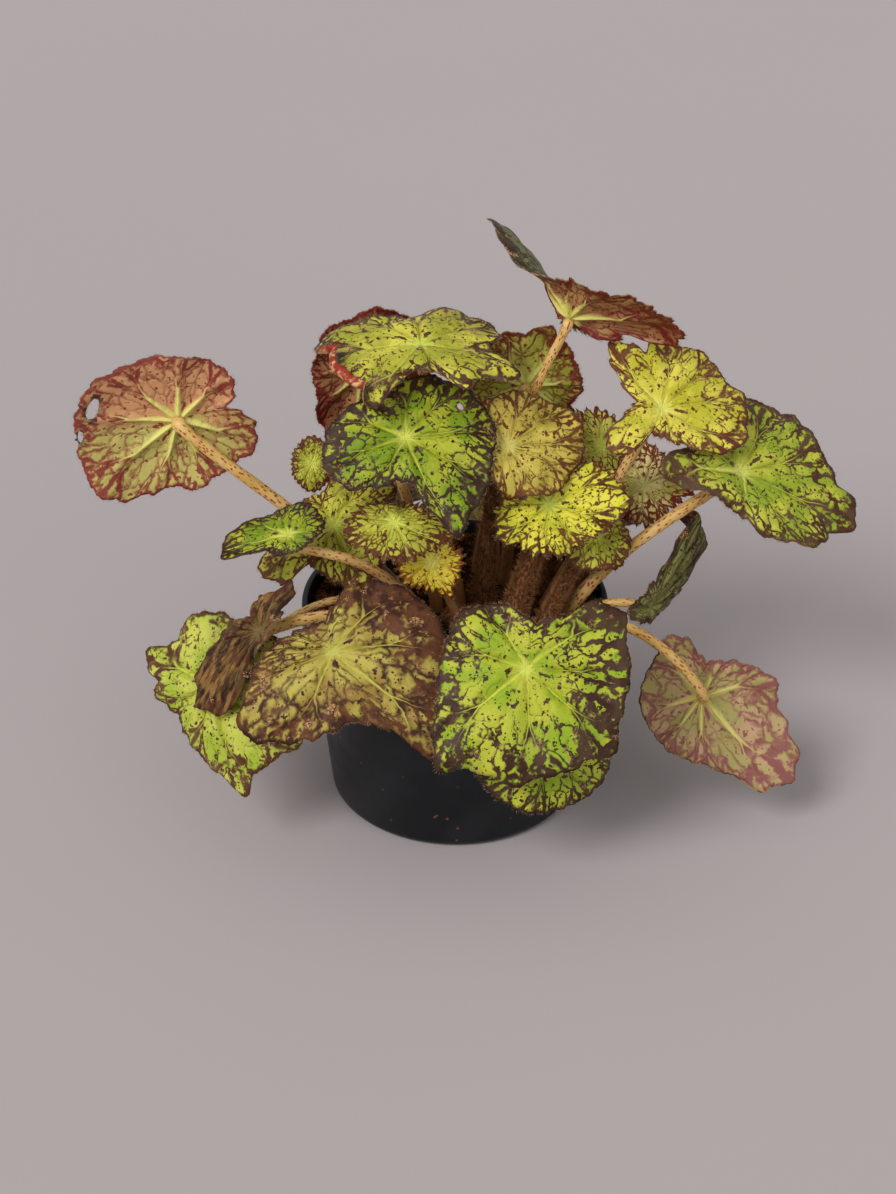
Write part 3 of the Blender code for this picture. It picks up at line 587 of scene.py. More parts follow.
class LeafPattern:
    """Where the veins and marks of a leaf lie, as nodes in a group; lengths are millimetres.

    turn: main veins passed on the way round, as a share of all. share: the way out from hub to
    margin. flat: the place on the flat leaf. place: the same, apart for each leaf, for its noise.
    wander, fine, patchy: noise that bends, frays and thins the marks. aside: how far from the
    nearest main vein, in veins, and fork: from its branches. arc: millimetres between two veins.
    """

    NUMBERS = ("Veins", "Seed", "Net", "Edge", "Dots", "Scars", "Soft", "Breadth", "Dry")
    SLOPES = ("Dusk", "Drift")
    RESULTS = ("Dark", "Vein", "Mottle", "Haze", "Scar", "Relief")
    SEED_STEP = 17.3

    def __init__(self, tree):
        for name in self.NUMBERS:
            tree.interface.new_socket(name, in_out="INPUT", socket_type="NodeSocketFloat")
        for name in self.SLOPES:
            tree.interface.new_socket(name, in_out="INPUT", socket_type="NodeSocketVector")
        for name in self.RESULTS:
            tree.interface.new_socket(name, in_out="OUTPUT", socket_type="NodeSocketFloat")
        self.build = build = NodeBuilder(tree)
        self.given = given = build.add("NodeGroupInput")
        self.turn, self.share, _ = build.split(build.uv("Polar"))
        self.flat = build.vector("SCALE", build.uv("Flat"), 1 / UV_PER_MM)
        self.radius = build.length(self.flat)
        self.seed = given["Seed"] * self.SEED_STEP
        self.place = build.vector("ADD", self.flat, build.join(0.0, 0.0, self.seed))
        self.wander = build.vector("SUBTRACT", build.noise(self.place, 0.16, output="Color"),
                                   (0.5, 0.5, 0.5))
        self.fine = build.noise(self.place, 0.6, 3.0) - 0.5
        self.patchy = build.noise(self.place, 0.13) - 0.5
        sway = build.split(self.wander)[0] * (self.share * 0.16)
        self.counted = self.turn * given["Veins"] + sway
        self.aside = build.math("PINGPONG", self.counted, 0.5)
        self.branch = (self.share - FORK).at_least(0.0) * FORK_SPREAD
        self.fork = abs(self.aside - self.branch)
        self.arc = self.radius * math.tau / given["Veins"]
        self.border = self.net_border()
        build.add("NodeGroupOutput", self.results())

    def results(self):
        """The group's outputs by name."""
        build = self.build
        vein = self.veins()
        dark = self.net()
        for mark in (self.twigs(), self.wedges(), self.eyes(), self.margin(), self.dots(),
                     self.blotches()):
            dark = dark.at_least(mark)
        dark = build.mix(self.given["Dry"], dark, self.streaks(), "FLOAT") * (1.0 - vein)
        relief = build.noise(self.place, 1.5, 3.0) * 0.35
        relief = relief + build.below(self.border, 0.0, 0.2) * -0.8 - vein * 0.6
        drift = build.vector("DOT_PRODUCT", self.flat, self.given["Drift"])
        tone = build.noise(self.place, 0.08, 3.0) + drift
        haze = build.noise(self.place, 0.14, 3.0)
        return {"Dark": dark, "Vein": vein, "Mottle": build.above(tone, 0.38, 0.62),
                "Haze": build.above(haze, 0.42, 0.6), "Scar": self.scars(), "Relief": relief}

    def veins(self):
        """Pale main veins that taper outwards and fork, and the pale hub that they leave."""
        build = self.build
        width = build.change(self.share, 0.05, 0.6, 1.6, 0.35) * self.given["Breadth"]
        vein = build.below(self.fork * self.arc, width * 0.1, width)
        vein = vein * build.below(self.share, 0.35, 0.8)
        return vein.at_least(build.below(self.radius, 1.5, 4.5))

    def net_border(self):
        """Distance from the edges of the net's cells, of which fewer go round near the hub."""
        build = self.build
        angle = self.turn * math.tau
        around = self.given["Veins"] * build.change(self.share, 0.0, 1.0, 0.3, 0.66)
        ring = build.join(build.math("COSINE", angle) * around, build.math("SINE", angle) * around,
                          self.share * 1.6 + self.seed)
        ring = build.vector("ADD", ring, build.vector("SCALE", self.wander, 1.1))
        return build.cells(ring, 1.0, "DISTANCE_TO_EDGE")[0]

    def net(self):
        """The dark net: thin near the hub, wider outwards, and wider to one side, which on
        front_right is painted shade.
        """
        build = self.build
        # the spread to one side, which on front_right is painted shade
        dusk = build.vector("DOT_PRODUCT", self.flat, self.given["Dusk"]).at_least(0.0)
        limit = build.change(self.share, 0.15, 1.0, -0.05, 0.1, "LINEAR")
        limit = limit + (self.given["Net"] - 1.0) * 0.07 + dusk
        drawn = self.border + self.fine * 0.2 + self.patchy * 0.22 - limit
        net = build.below(drawn, self.given["Soft"] * -1.0, self.given["Soft"])
        return net * build.above(self.share, 0.14, 0.26)

    def twigs(self):
        """Dark lines along the veins' outer branches, which fork once more, in patches."""
        build = self.build
        again = (self.share - TWIG_FORK).at_least(0.0) * FORK_SPREAD
        twig = abs(self.fork - again) + self.fine * 0.1
        band = build.below(twig, 0.03, 0.07) * build.above(self.share, 0.42, 0.6)
        return band * build.above(self.patchy, -0.1, 0.0)

    def wedges(self):
        """A dark wedge in the fork of each main vein."""
        inside = self.build.math("LESS_THAN", self.aside + self.fine * 0.1, self.branch * 0.8)
        return inside * self.build.below(self.share, 0.58, 0.7)

    def eyes(self):
        """A dark spot near the hub between some of the main veins."""
        build = self.build
        sector = build.add("ShaderNodeTexWhiteNoise",
                           {"W": build.math("FLOOR", self.counted) + self.seed},
                           noise_dimensions="1D")["Value"]
        away = build.length(build.join((0.5 - self.aside) * self.arc, (self.share - 0.2) * 12.0))
        eye = build.below(away + self.fine * 2.5, 0.6, 0.9)
        return eye * build.math("GREATER_THAN", sector, 0.4)

    def margin(self):
        """The dark band along the leaf's margin."""
        edge = self.radius / self.share.at_least(0.01)
        inwards = edge - self.radius + self.fine * 3.5 + self.patchy * 4.0
        return self.build.below(inwards, self.given["Edge"] * 0.4, self.given["Edge"] * 1.2)

    def dots(self):
        """Round dark dots of all sizes, large ones and small ones."""
        build = self.build
        spot = build.vector("ADD", self.place, build.vector("SCALE", self.wander, 2.0))
        kinds = []
        for scale, size in ((0.36, 0.34), (0.8, 0.42)):
            near, (pick, large, _) = build.cells(spot, scale)
            reach = large * size
            dot = build.below(near + self.fine * 0.25, reach * 0.6, reach)
            kinds.append(dot * build.math("LESS_THAN", pick, self.given["Dots"]))
        return kinds[0].at_least(kinds[1])

    def blotches(self):
        """Ragged dark blotches, apart from the net."""
        blotch = self.build.above(self.build.noise(self.place, 0.45, 3.0), 0.6, 0.64)
        return blotch * self.build.above(self.share, 0.12, 0.24)

    def streaks(self):
        """Dark streaks from the hub to the tip, as on a dried leaf."""
        lengthways = self.build.vector("MULTIPLY", self.place, (0.22, 1.0, 1.0))
        return self.build.above(self.build.noise(lengthways, 0.55, 4.0), 0.42, 0.56)

    def scars(self):
        """Dry flecks, in small groups near the margin."""
        build = self.build
        fleck = build.below(abs(build.noise(self.place, 0.9, 4.0) - 0.5), 0.015, 0.04)
        group = build.above(build.noise(self.place, 0.16), 0.6, 0.66)
        return fleck * group * (self.given["Scars"] * build.above(self.share, 0.5, 0.7))


def leaf_pattern():
    """The node group that every leaf's two materials share."""
    name = "Begonia leaf pattern"
    if name not in bpy.data.node_groups:
        LeafPattern(bpy.data.node_groups.new(name, "ShaderNodeTree"))
    return bpy.data.node_groups[name]


def heading(direction, strength, leaf):
    """A slope in the flat blade that adds the strength at the leaf's margin."""
    return toward(direction).to_3d() * strength / leaf.size


def leaf_material(leaf, name, fields, marks, vein, soft, breadth, specks):
    """One side of a leaf: two field colours, two colours of its marks, and its veins.

    soft: blur of the marks. breadth: of the veins. specks: how many dots and scars show.
    """
    finish = Finish(f"{name}_{leaf.name}", 0.5, 0.2)
    look = leaf.look
    inputs = {"Veins": len(leaf.veins), "Seed": leaf.size, "Net": look.net, "Edge": look.edge,
              "Dots": look.dots * specks, "Scars": look.scars * specks, "Soft": soft,
              "Breadth": breadth, "Dry": look.dry, "Dusk": heading(*leaf.dusk, leaf),
              "Drift": heading(*leaf.drift, leaf)}
    marked = finish.add("ShaderNodeGroup", inputs, node_tree=leaf_pattern())
    field = finish.mix(marked["Mottle"], *(screen(*shade) for shade in fields))
    mark = finish.mix(marked["Haze"], *(screen(*shade) for shade in marks))
    colour = finish.mix(marked["Dark"], field, mark)
    colour = finish.mix(marked["Vein"], colour, screen(*vein))
    dry_tissue = screen(204, 156, 108)
    finish.colour(finish.mix(marked["Scar"], colour, dry_tissue))
    finish.bump(marked["Relief"], 0.6, 0.6)
    return finish.material


def leaf_materials(leaf):
    """Upper side, underside, and rim of a leaf."""
    look = leaf.look
    upper = leaf_material(leaf, "upper", (look.green, look.deep), (look.dark, look.haze),
                          look.vein, soft=look.soft, breadth=1.0, specks=1.0)
    lower = leaf_material(leaf, "lower", (look.under, look.under_deep), (look.stain, look.stain),
                          look.under_vein, soft=0.11, breadth=1.35, specks=0.15)
    return upper, lower, rim_material()


def rim_material():
    """The dry brown rim of a leaf and of its holes."""
    if "leaf_rim" not in bpy.data.materials:
        finish = Finish("leaf_rim", 0.7, 0.2)
        patches = finish.above(finish.noise(finish.world(), 300.0), 0.45, 0.6)
        finish.colour(finish.mix(patches, screen(84, 56, 46), screen(156, 122, 84)))
    return bpy.data.materials["leaf_rim"]


def passed(stops, angle):
    """The last of some sorted angles before an angle, and the share of the gap after it."""
    around = [stops[-1] - 360, *stops, stops[0] + 360]
    index = bisect(around, angle, 1, len(around) - 1) - 1
    return index - 1, (angle - around[index]) / (around[index + 1] - around[index])


def outline_reach(leaf, angle):
    """Reach from hub to margin, at an angle in degrees from the tip."""
    margin = sorted(leaf.margin)
    before, share = passed([stop for stop, _ in margin], angle)
    reach = margin[before][1]
    after = margin[(before + 1) % len(margin)][1]
    return reach + (after - reach) * (1 - math.cos(math.pi * share)) / 2


def vein_turn(leaf, angle):
    """Veins passed on the way round to an angle: a whole number on each vein."""
    return sum(passed(leaf.veins, angle))


def toothed(leaf, angle, settings):
    """Reach of the margin with its teeth, large ones as on the plain solid and small between."""
    step = (angle + 180) / 360 * TOOTH_COUNT
    large = 1 - 4 * abs((step % 1) - 0.5)
    small = 1 - 2 * ((step * SMALL_TEETH + 0.25 * math.sin(step)) % 1)
    rough = noise.noise(Vector((step * 0.8, leaf.size, 0)))
    rough += noise.noise(Vector((step * 2.3, 0, 0)))
    depth = settings.tooth_depth * large + settings.small_tooth_depth * small
    return outline_reach(leaf, angle) * (1 + ROUGH_MARGIN * rough) + leaf.teeth * depth / MM


def rolled(leaf, x, y, z, share):
    """A point of the domed leaf after the curls of its margin."""
    reach = math.hypot(x, y)
    angle = math.atan2(y, x)
    here = math.degrees(angle)
    for first, last, width, turn in leaf.curls:
        fade = smooth_step(here, first, first + CURL_FADE)
        fade *= 1 - smooth_step(here, last - CURL_FADE, last)
        past = reach - (reach / share - width) if share else 0
        if past > 0 and fade > 0:
            full = math.radians(turn) * fade
            radius = width / full
            turned = full * past / width
            x += (radius * math.sin(turned) - past) * math.cos(angle)
            y += (radius * math.sin(turned) - past) * math.sin(angle)
            z -= radius * (1 - math.cos(turned))
    return x, y, z


def twisted(leaf, x, y, z):
    """A point of the leaf after its twists."""
    for direction, start, length, turn in leaf.twists:
        along = toward(direction)
        past = x * along.x + y * along.y - start
        aside = y * along.x - x * along.y
        turned = math.radians(turn) * min(max(past / length, 0), 1)
        shift = (math.cos(turned) - 1) * aside - z * math.sin(turned)
        x -= shift * along.y
        y += shift * along.x
        z = z * math.cos(turned) + aside * math.sin(turned)
    return x, y, z


def folded(leaf, x, y, z):
    """A point of the leaf after its folds."""
    for direction, start, length, down in leaf.folds:
        along = toward(direction)
        past = x * along.x + y * along.y - start
        if past <= 0:
            continue
        full = math.radians(down)
        turned = full * min(past / length, 1)
        straight = max(past - length, 0)
        radius = length / full
        forward = (radius + z) * math.sin(turned) + straight * math.cos(turned)
        drop = radius * (1 - math.cos(turned)) + straight * math.sin(turned)
        x += (forward - past) * along.x
        y += (forward - past) * along.y
        z = z * math.cos(turned) - drop
    return x, y, z


def bent(leaf, x, y, share, lift):
    """A point of the flat blade, x to the tip and y to its left, on the bent blade in the world.

    share: how far out the point lies between hub and margin. lift: its height in the relief.
    """
    count, height = leaf.waves
    z = leaf.dome * (x * x + y * y) / leaf.size + lift
    z += height * leaf.size * share ** 3 * math.sin(count * math.atan2(y, x) + leaf.size)
    x, y, z = folded(leaf, *twisted(leaf, *rolled(leaf, x, y, z, share)))
    return leaf.hub + leaf.ahead * x + leaf.left * y + leaf.up * z


def relief(leaf, x, y, turn, share, settings):
    """Height of the blade's relief: sunk veins, fields that swell between them, and puckers."""
    aside = abs((turn + 0.5) % 1 - 0.5) * 2
    swell = math.sin(min(aside * 1.6, 1) * math.pi / 2) * math.sin(math.pi * share ** 0.8)
    fine = noise.noise(Vector((x / PUCKER_SPACING, y / PUCKER_SPACING, leaf.size)))
    coarse = noise.noise(Vector((x / WAVE_SPACING, y / WAVE_SPACING, leaf.size + 9)))
    loose = settings.pucker * fine * min(share * 2, 1) + settings.wave * coarse * share * share
    height = (settings.swell * swell + leaf.crumple * loose) / MM
    return height * min(leaf.size / FULL_RELIEF, 1)


def flat_blade(leaf, columns, rings, settings):
    """The flat leaf as a grid rolled round its hub, in millimetres, with its two UV maps."""
    shape = bmesh.new()
    flat = shape.loops.layers.uv.new("Flat")
    polar = shape.loops.layers.uv.new("Polar")
    out = shape.verts.layers.float.new("share")
    turned = shape.verts.layers.float.new("turn")
    bmesh.ops.create_grid(shape, x_segments=columns, y_segments=rings, size=0.5)
    spokes = []
    for column in range(columns + 1):
        angle = -180 + 360 * column / columns
        spokes.append((math.radians(angle), outline_reach(leaf, angle),
                       toothed(leaf, angle, settings), vein_turn(leaf, angle)))
    for vert in shape.verts:
        angle, smooth, edge, turn = spokes[round((vert.co.x + 0.5) * columns)]
        share = (vert.co.y + 0.5) ** RING_CROWDING
        reach = share * (smooth + (edge - smooth) * share ** TOOTH_FADE)
        vert[out] = share
        vert[turned] = turn
        vert.co = (math.cos(angle) * reach, math.sin(angle) * reach, 0)
    for face in shape.faces:
        for loop in face.loops:
            loop[flat].uv = loop.vert.co.xy * UV_PER_MM
            loop[polar].uv = (loop.vert[turned] / len(leaf.veins), loop.vert[out])
    bmesh.ops.remove_doubles(shape, verts=shape.verts, dist=SAME_POINT)
    bmesh.ops.reverse_faces(shape, faces=shape.faces)
    return shape


def cut_holes(leaf, shape):
    """Open the holes of a flat leaf, draw their rims round and give these the dry material."""
    for angle, reach, length, width in leaf.holes:
        along = toward(angle)
        across = Vector((-along.y, along.x))
        centre = along * reach

        def away(place):
            """Distance of a place from the hole's middle, where 1 is its rim."""
            off = place.xy - centre
            return math.hypot(off.dot(along) / (length / 2), off.dot(across) / (width / 2))

        inside = [face for face in shape.faces if away(face.calc_center_median()) < 1]
        bmesh.ops.delete(shape, geom=inside, context="FACES")
        for vert in shape.verts:
            distance = away(vert.co)
            if vert.is_boundary and distance < HOLE_PULL:
                vert.co.xy = centre + (vert.co.xy - centre) / max(distance, 0.2)
        for face in shape.faces:
            if away(face.calc_center_median()) < HOLE_BORDER:
                face.material_index = RIM_MATERIAL


def make_blade(leaf, settings):
    """One blade, with its relief and its thickness."""
    large = leaf.size > LARGE_LEAF
    columns = TOOTH_COUNT * (TOOTH_COLUMNS if large else TOOTH_COLUMNS // 2)
    rings = settings.rings if large else settings.rings * 2 // 3
    shape = flat_blade(leaf, columns, rings, settings)
    cut_holes(leaf, shape)
    out = shape.verts.layers.float["share"]
    turned = shape.verts.layers.float["turn"]
    for vert in shape.verts:
        x, y = vert.co.xy
        lift = relief(leaf, x, y, vert[turned], vert[out], settings)
        vert.co = bent(leaf, x, y, vert[out], lift) * MM
    shape.normal_update()
    made = add_piece("leaf_" + leaf.name, shape, leaf_materials(leaf))
    wall = made.modifiers.new("Thickness", "SOLIDIFY")
    wall.thickness = settings.thickness
    wall.offset = 0
    wall.material_offset = UNDERSIDE_MATERIAL
    wall.material_offset_rim = RIM_MATERIAL
    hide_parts("blade_" + leaf.name)


def new_mesh(name, shape):
    """A mesh from a bmesh, which is freed."""
    mesh = bpy.data.meshes.new(name)
    shape.to_mesh(mesh)
    shape.free()
    return mesh


def new_object(name, data):
    """An object in the scene."""
    made = bpy.data.objects.new(name, data)
    bpy.context.scene.collection.objects.link(made)
    return made


def add_piece(name, shape, materials):
    """A finished bmesh as an object that rides on the frame."""
    mesh = new_mesh(name, shape)
    for material in materials:
        mesh.materials.append(material)
    mesh.shade_smooth()
    made = new_object(name, mesh)
    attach(made, "root")
    return made


def soil_height(x, y):
    """Height of the soil's low mound at a place."""
    mound = SOIL_MOUND * math.exp(-(x * x + y * y) / SOIL_MOUND_WIDTH ** 2)
    return SOIL_LEVEL + mound


def heaped(place):
    """A point of the soil's top raised where loose soil lies against the leaning wall."""
    rise = SOIL_HEAP * smooth_step(place.xy.length, HEAP_START, HEAP_END)
    out = 1 + WALL_LEAN * rise / max(place.xy.length, 1)
    return Vector((place.x * out, place.y * out, place.z + rise))


def petiole_path(leaf, steps):
    """Points from the root's end in the soil to the underside of the hub."""
    start = Vector((*leaf.root, soil_height(*leaf.root) + 1))
    outward = Vector((leaf.hub.x - leaf.root[0], leaf.hub.y - leaf.root[1], 0)).normalized()
    lean = math.radians(leaf.lean)
    leave = outward * math.sin(lean) + UPWARDS * math.cos(lean)
    joint = leaf.hub - leaf.up * (BLADE_THICKNESS / 2)
    neck = joint - leaf.up * PETIOLE_NECK
    bend = interpolate_bezier(start, start + leave * leaf.rise, neck - leaf.up * leaf.reach, neck,
                              steps)
    return [start - leave * ROOT_DEPTH, *bend, joint]


def petiole_radii(leaf, count):
    """Radius at each point: stout in the soil, slim midway, and flared into the blade."""
    foot, foot_start, foot_end = FOOT_FLARE
    neck, neck_start, neck_end = NECK_FLARE
    radii = []
    for index in range(count):
        share = index / (count - 1)
        wider = foot * (1 - smooth_step(share, foot_start, foot_end))
        wider += neck * smooth_step(share, neck_start, neck_end)
        radii.append(leaf.stem * (SLIM + wider))
    return radii


def rhizome_path():
    """The rhizome's line, with more points than its solid has."""
    points = [Vector(place) for place in RHIZOME]
    path = []
    for first, last in zip(points, points[1:]):
        path += [first.lerp(last, step / RHIZOME_STEPS) for step in range(RHIZOME_STEPS)]
    return [*path, points[-1]]


def rhizome_radii(count):
    """Radius at each point of the rhizome, from knot to knot."""
    radii = []
    for index in range(count):
        place = index / (count - 1) * (len(RHIZOME_KNOTS) - 1)
        low = min(int(place), len(RHIZOME_KNOTS) - 2)
        first, last = RHIZOME_KNOTS[low:low + 2]
        radii.append(RHIZOME_RADIUS * (first + (last - first) * (place - low)))
    return radii


def along_path(path):
    """Each point of a path with its direction and two directions across it."""
    frames = []
    side = Vector((1, 0, 0))
    for index, place in enumerate(path):
        before, after = path[max(index - 1, 0)], path[min(index + 1, len(path) - 1)]
        ahead = (after - before).normalized()
        side = (side - ahead * side.dot(ahead)).normalized()
        frames.append((place, ahead, side, ahead.cross(side)))
    return frames


def petiole_rod(leaf, steps):
    """The frames and the radii of a petiole."""
    frames = along_path(petiole_path(leaf, steps))
    return frames, petiole_radii(leaf, len(frames))


def rhizome_rod():
    """The frames and the radii of the rhizome."""
    frames = along_path(rhizome_path())
    return frames, rhizome_radii(len(frames))


def tube(frames, radii, sides, bumps):
    """A closed bumpy rod along the frames of a path, with a UV map of turn and length."""
    shape = bmesh.new()
    uv = shape.loops.layers.uv.new("Rod")
    rows = len(frames) + 1
    bmesh.ops.create_grid(shape, x_segments=sides, y_segments=rows, size=0.5)
    lengths = [0.0]
    for (place, *_), (after, *_) in zip(frames, frames[1:]):
        lengths.append(lengths[-1] + (after - place).length)
    stations = [0, *range(len(frames)), len(frames) - 1]
    for face in shape.faces:
        for loop in face.loops:
            length = lengths[stations[round((loop.vert.co.y + 0.5) * rows)]]
            loop[uv].uv = (loop.vert.co.x + 0.5, length * UV_PER_MM)
    for vert in shape.verts:
        row = round((vert.co.y + 0.5) * rows)
        index = stations[row]
        place, _, side, other = frames[index]
        turn = math.tau * (vert.co.x + 0.5)
        lump = Vector((math.cos(turn) * 1.5, math.sin(turn) * 1.5, lengths[index] / 3))
        radius = radii[index] * (1 + bumps * noise.noise(lump + UPWARDS * radii[0] * 9))
        out = side * math.cos(turn) + other * math.sin(turn)
        vert.co = (place + out * (radius if 0 < row < rows else 0)) * MM
    bmesh.ops.remove_doubles(shape, verts=shape.verts, dist=SAME_POINT)
    bmesh.ops.recalc_face_normals(shape, faces=shape.faces)
    return shape


def petiole_material():
    """Tan stalks with short dark-red streaks, browner near the soil at the crown."""
    finish = Finish("petiole", 0.42, 0.45)
    around, along, _ = finish.split(finish.uv("Rod"))
    angle = around * math.tau
    world = finish.world()
    rod = finish.join(finish.math("COSINE", angle) * 2.2, finish.math("SINE", angle) * 2.2,
                      along * 42.0)
    place = finish.vector("ADD", rod, finish.vector("SCALE", world, 20.0))
    near, (pick, *_) = finish.cells(place, 1.0)
    streak = finish.below(near, 0.26, 0.42) * finish.math("LESS_THAN", pick, 0.85)
    patches = finish.above(finish.noise(world, 90.0), 0.35, 0.65)
    body = finish.mix(patches, screen(230, 190, 118), screen(206, 164, 80))
    from_middle = finish.length(finish.vector("MULTIPLY", world, (1.0, 1.0, 0.0)))
    height = finish.split(world)[2]
    low = finish.below(height, 0.086, 0.125) * finish.below(from_middle, 0.036, 0.056)
    body = finish.mix(low * 0.85, body, screen(104, 62, 32))
    finish.colour(finish.mix(streak, body, screen(160, 62, 38)))
    finish.bump(finish.noise(place, 2.0, 3.0), 0.35, 0.3)
    return finish.material


def shaggy_material():
    """The thick young stalks and the rhizome: brown skin under brown hair."""
    finish = Finish("shaggy_stalk", 0.75, 0.2)
    stretched = finish.vector("MULTIPLY", finish.world(), (1.0, 1.0, 0.25))
    strand = finish.above(finish.noise(stretched, 1400.0, 3.0), 0.35, 0.65)
    finish.colour(finish.mix(strand, screen(70, 40, 24), screen(142, 92, 52)))
    finish.bump(strand, 0.7, 0.4)
    return finish.material


def hair_material(name, pale, dark):
    """Fine hairs that pale and darken from place to place."""
    finish = Finish(name, 0.55, 0.3)
    patches = finish.noise(finish.world(), 260.0, 1.0)
    finish.colour(finish.mix(patches, screen(*dark), screen(*pale)))
    return finish.material


def hair_template():
    """The mesh of one hair: a slim three-sided spike, one metre long and one in radius."""
    shape = bmesh.new()
    bmesh.ops.create_cone(shape, cap_ends=True, segments=3, radius1=1, radius2=0, depth=1,
                          matrix=Matrix.Translation((0, 0, 0.5)))
    return new_mesh("hair", shape)


def add_hair(shape, hair, root, direction, length, radius):
    """Add one hair to a bmesh."""
    spin = direction.to_track_quat("Z", "Y").to_matrix().to_4x4()
    place = Matrix.Translation(root) @ spin @ Matrix.Diagonal((radius, radius, length, 1))
    hair.transform(place)
    shape.from_mesh(hair)
    hair.transform(place.inverted())


def loose_direction(draw, direction, spread):
    """A direction near the given one."""
    jitter = Vector([draw.uniform(-1, 1) for _ in range(3)])
    return (direction + jitter * spread).normalized()


def make_leaf_hairs(leaf, hair, settings):
    """Bristles round the margin of a leaf and short hairs on its upper side."""
    draw = random.Random("hairs " + leaf.name)
    source = bmesh.new()
    source.from_mesh(bpy.data.objects["leaf_" + leaf.name].data)
    rim = [vert for vert in source.verts if vert.is_boundary]
    inner = [vert for vert in source.verts if not vert.is_boundary]
    perimeter = sum(edge.calc_length() for edge in source.edges if edge.is_boundary)
    area = sum(face.calc_area() for face in source.faces)
    shape = bmesh.new()
    for _ in range(int(perimeter / settings.margin_spacing)):
        vert = draw.choice(rim)
        inward = [edge.other_vert(vert) for edge in vert.link_edges if not edge.is_boundary]
        outward = (vert.co - inward[0].co).normalized() if inward else vert.normal
        lift = vert.normal * draw.uniform(*BRISTLE_LIFT)
        way = loose_direction(draw, outward + lift, BRISTLE_SPREAD)
        length = settings.length * draw.uniform(*BRISTLE_RANGE)
        add_hair(shape, hair, vert.co, way, length, settings.radius)
    for _ in range(int(leaf.fuzz * area / settings.surface_spacing ** 2)):
        vert = draw.choice(inner)
        way = loose_direction(draw, vert.normal, DOWN_SPREAD)
        length = settings.length * draw.uniform(*DOWN_RANGE)
        add_hair(shape, hair, vert.co, way, length, settings.radius)
    source.free()
    return shape


def make_stalk_hairs(name, rod, hair, count, length, radius, lean):
    """Hairs all round a rod, which lean along it; the name seeds their places."""
    draw = random.Random(name)
    frames, radii = rod
    shape = bmesh.new()
    for _ in range(count):
        index = draw.randrange(1, len(frames) - 1)
        place, ahead, side, other = frames[index]
        place = place.lerp(frames[index + 1][0], draw.random())
        turn = draw.uniform(0, math.tau)
        out = side * math.cos(turn) + other * math.sin(turn)
        way = loose_direction(draw, out + ahead * lean, STALK_HAIR_SPREAD)
        root = (place + out * radii[index] * HAIR_ROOT) * MM
        add_hair(shape, hair, root, way, length * draw.uniform(*STALK_HAIR_RANGE), radius)
    return shape


def spun(profile, sides):
    """A solid of revolution round Z from a closed (radius, height) profile in millimetres."""
    shape = bmesh.new()
    ring = [shape.verts.new((radius * MM, 0, height * MM)) for radius, height in profile]
    edges = [shape.edges.new(pair) for pair in zip(ring, ring[1:])]
    bmesh.ops.spin(shape, geom=ring + edges, axis=UPWARDS, cent=(0, 0, 0),
                   angle=math.tau, steps=sides, use_merge=True)
    bmesh.ops.remove_doubles(shape, verts=shape.verts, dist=SAME_POINT)
    bmesh.ops.recalc_face_normals(shape, faces=shape.faces)
    return shape


def corner_arc(centre, radius, first, last, steps=6):
    """Points of a (radius, height) arc between two angles in degrees."""
    turns = [math.radians(first + (last - first) * step / steps) for step in range(steps + 1)]
    return [(centre[0] + radius * math.cos(turn), centre[1] + radius * math.sin(turn))
            for turn in turns]


def inner_radius(height):
    """Inside radius of the pot's wall at a height."""
    share = height / POT_HEIGHT
    return BASE_RADIUS + (SHOULDER_RADIUS - BASE_RADIUS) * share - POT_WALL


def pot_profile():
    """Half of the pot's section: foot with its groove, wall, rim band and lip."""
    groove_in, groove_out, groove_depth = FOOT_GROOVE
    band_foot = POT_HEIGHT - RIM_BAND
    floor = groove_depth + POT_WALL
    profile = [(0, 0), (groove_in, 0), (groove_in + GROOVE_SLOPE, groove_depth),
               (groove_out - GROOVE_SLOPE, groove_depth), (groove_out, 0)]
    profile += corner_arc((BASE_RADIUS - BASE_CORNER, BASE_CORNER), BASE_CORNER, *FOOT_ARC)
    profile += [(SHOULDER_RADIUS, band_foot)]
    outer = RIM_RADIUS - LIP_ROUND
    inner = RIM_RADIUS - LIP_WIDTH + LIP_ROUND
    profile += corner_arc((outer, band_foot + LIP_ROUND), LIP_ROUND, -90, 0, 3)
    profile += corner_arc((outer, POT_HEIGHT - LIP_ROUND), LIP_ROUND, 0, 90, 4)
    profile += corner_arc((inner, POT_HEIGHT - LIP_ROUND), LIP_ROUND, 90, 180, 4)
    profile += [(inner_radius(band_foot), band_foot), (inner_radius(floor), floor), (0, floor)]
    return profile


def soil_profile(edge):
    """Half of the soil's section, in the pot's wall up to the edge and over the mound."""
    floor = FOOT_GROOVE[2] + POT_WALL
    profile = [(0, floor + CLEARANCE), (inner_radius(floor) - CLEARANCE, floor + CLEARANCE),
               (edge, SOIL_LEVEL)]
    for step in range(1, SOIL_RINGS + 1):
        radius = edge * (1 - step / SOIL_RINGS)
        profile.append((radius, soil_height(radius, 0)))
    return profile


def add_crumb(shape, draw, limit, largest):
    """Add one crumb of the soil to a bmesh, within a radius of the middle."""
    turn = draw.uniform(0, math.tau)
    reach = limit * math.sqrt(draw.random())
    x, y = reach * math.cos(turn), reach * math.sin(turn)
    place = heaped(Vector((x, y, soil_height(x, y) + draw.uniform(0, CRUMB_LIFT))))
    size = largest * draw.uniform(*CRUMB_RANGE) ** CRUMB_POWER
    stretch = Matrix.Diagonal((*[draw.uniform(*CRUMB_STRETCH) for _ in range(3)], 1))
    turned = draw.uniform(0, math.tau)
    spin = Matrix.Rotation(turned, 4, loose_direction(draw, UPWARDS, 1))
    bmesh.ops.create_icosphere(shape, subdivisions=1, radius=size,
                               matrix=Matrix.Translation(place * MM) @ spin @ stretch)


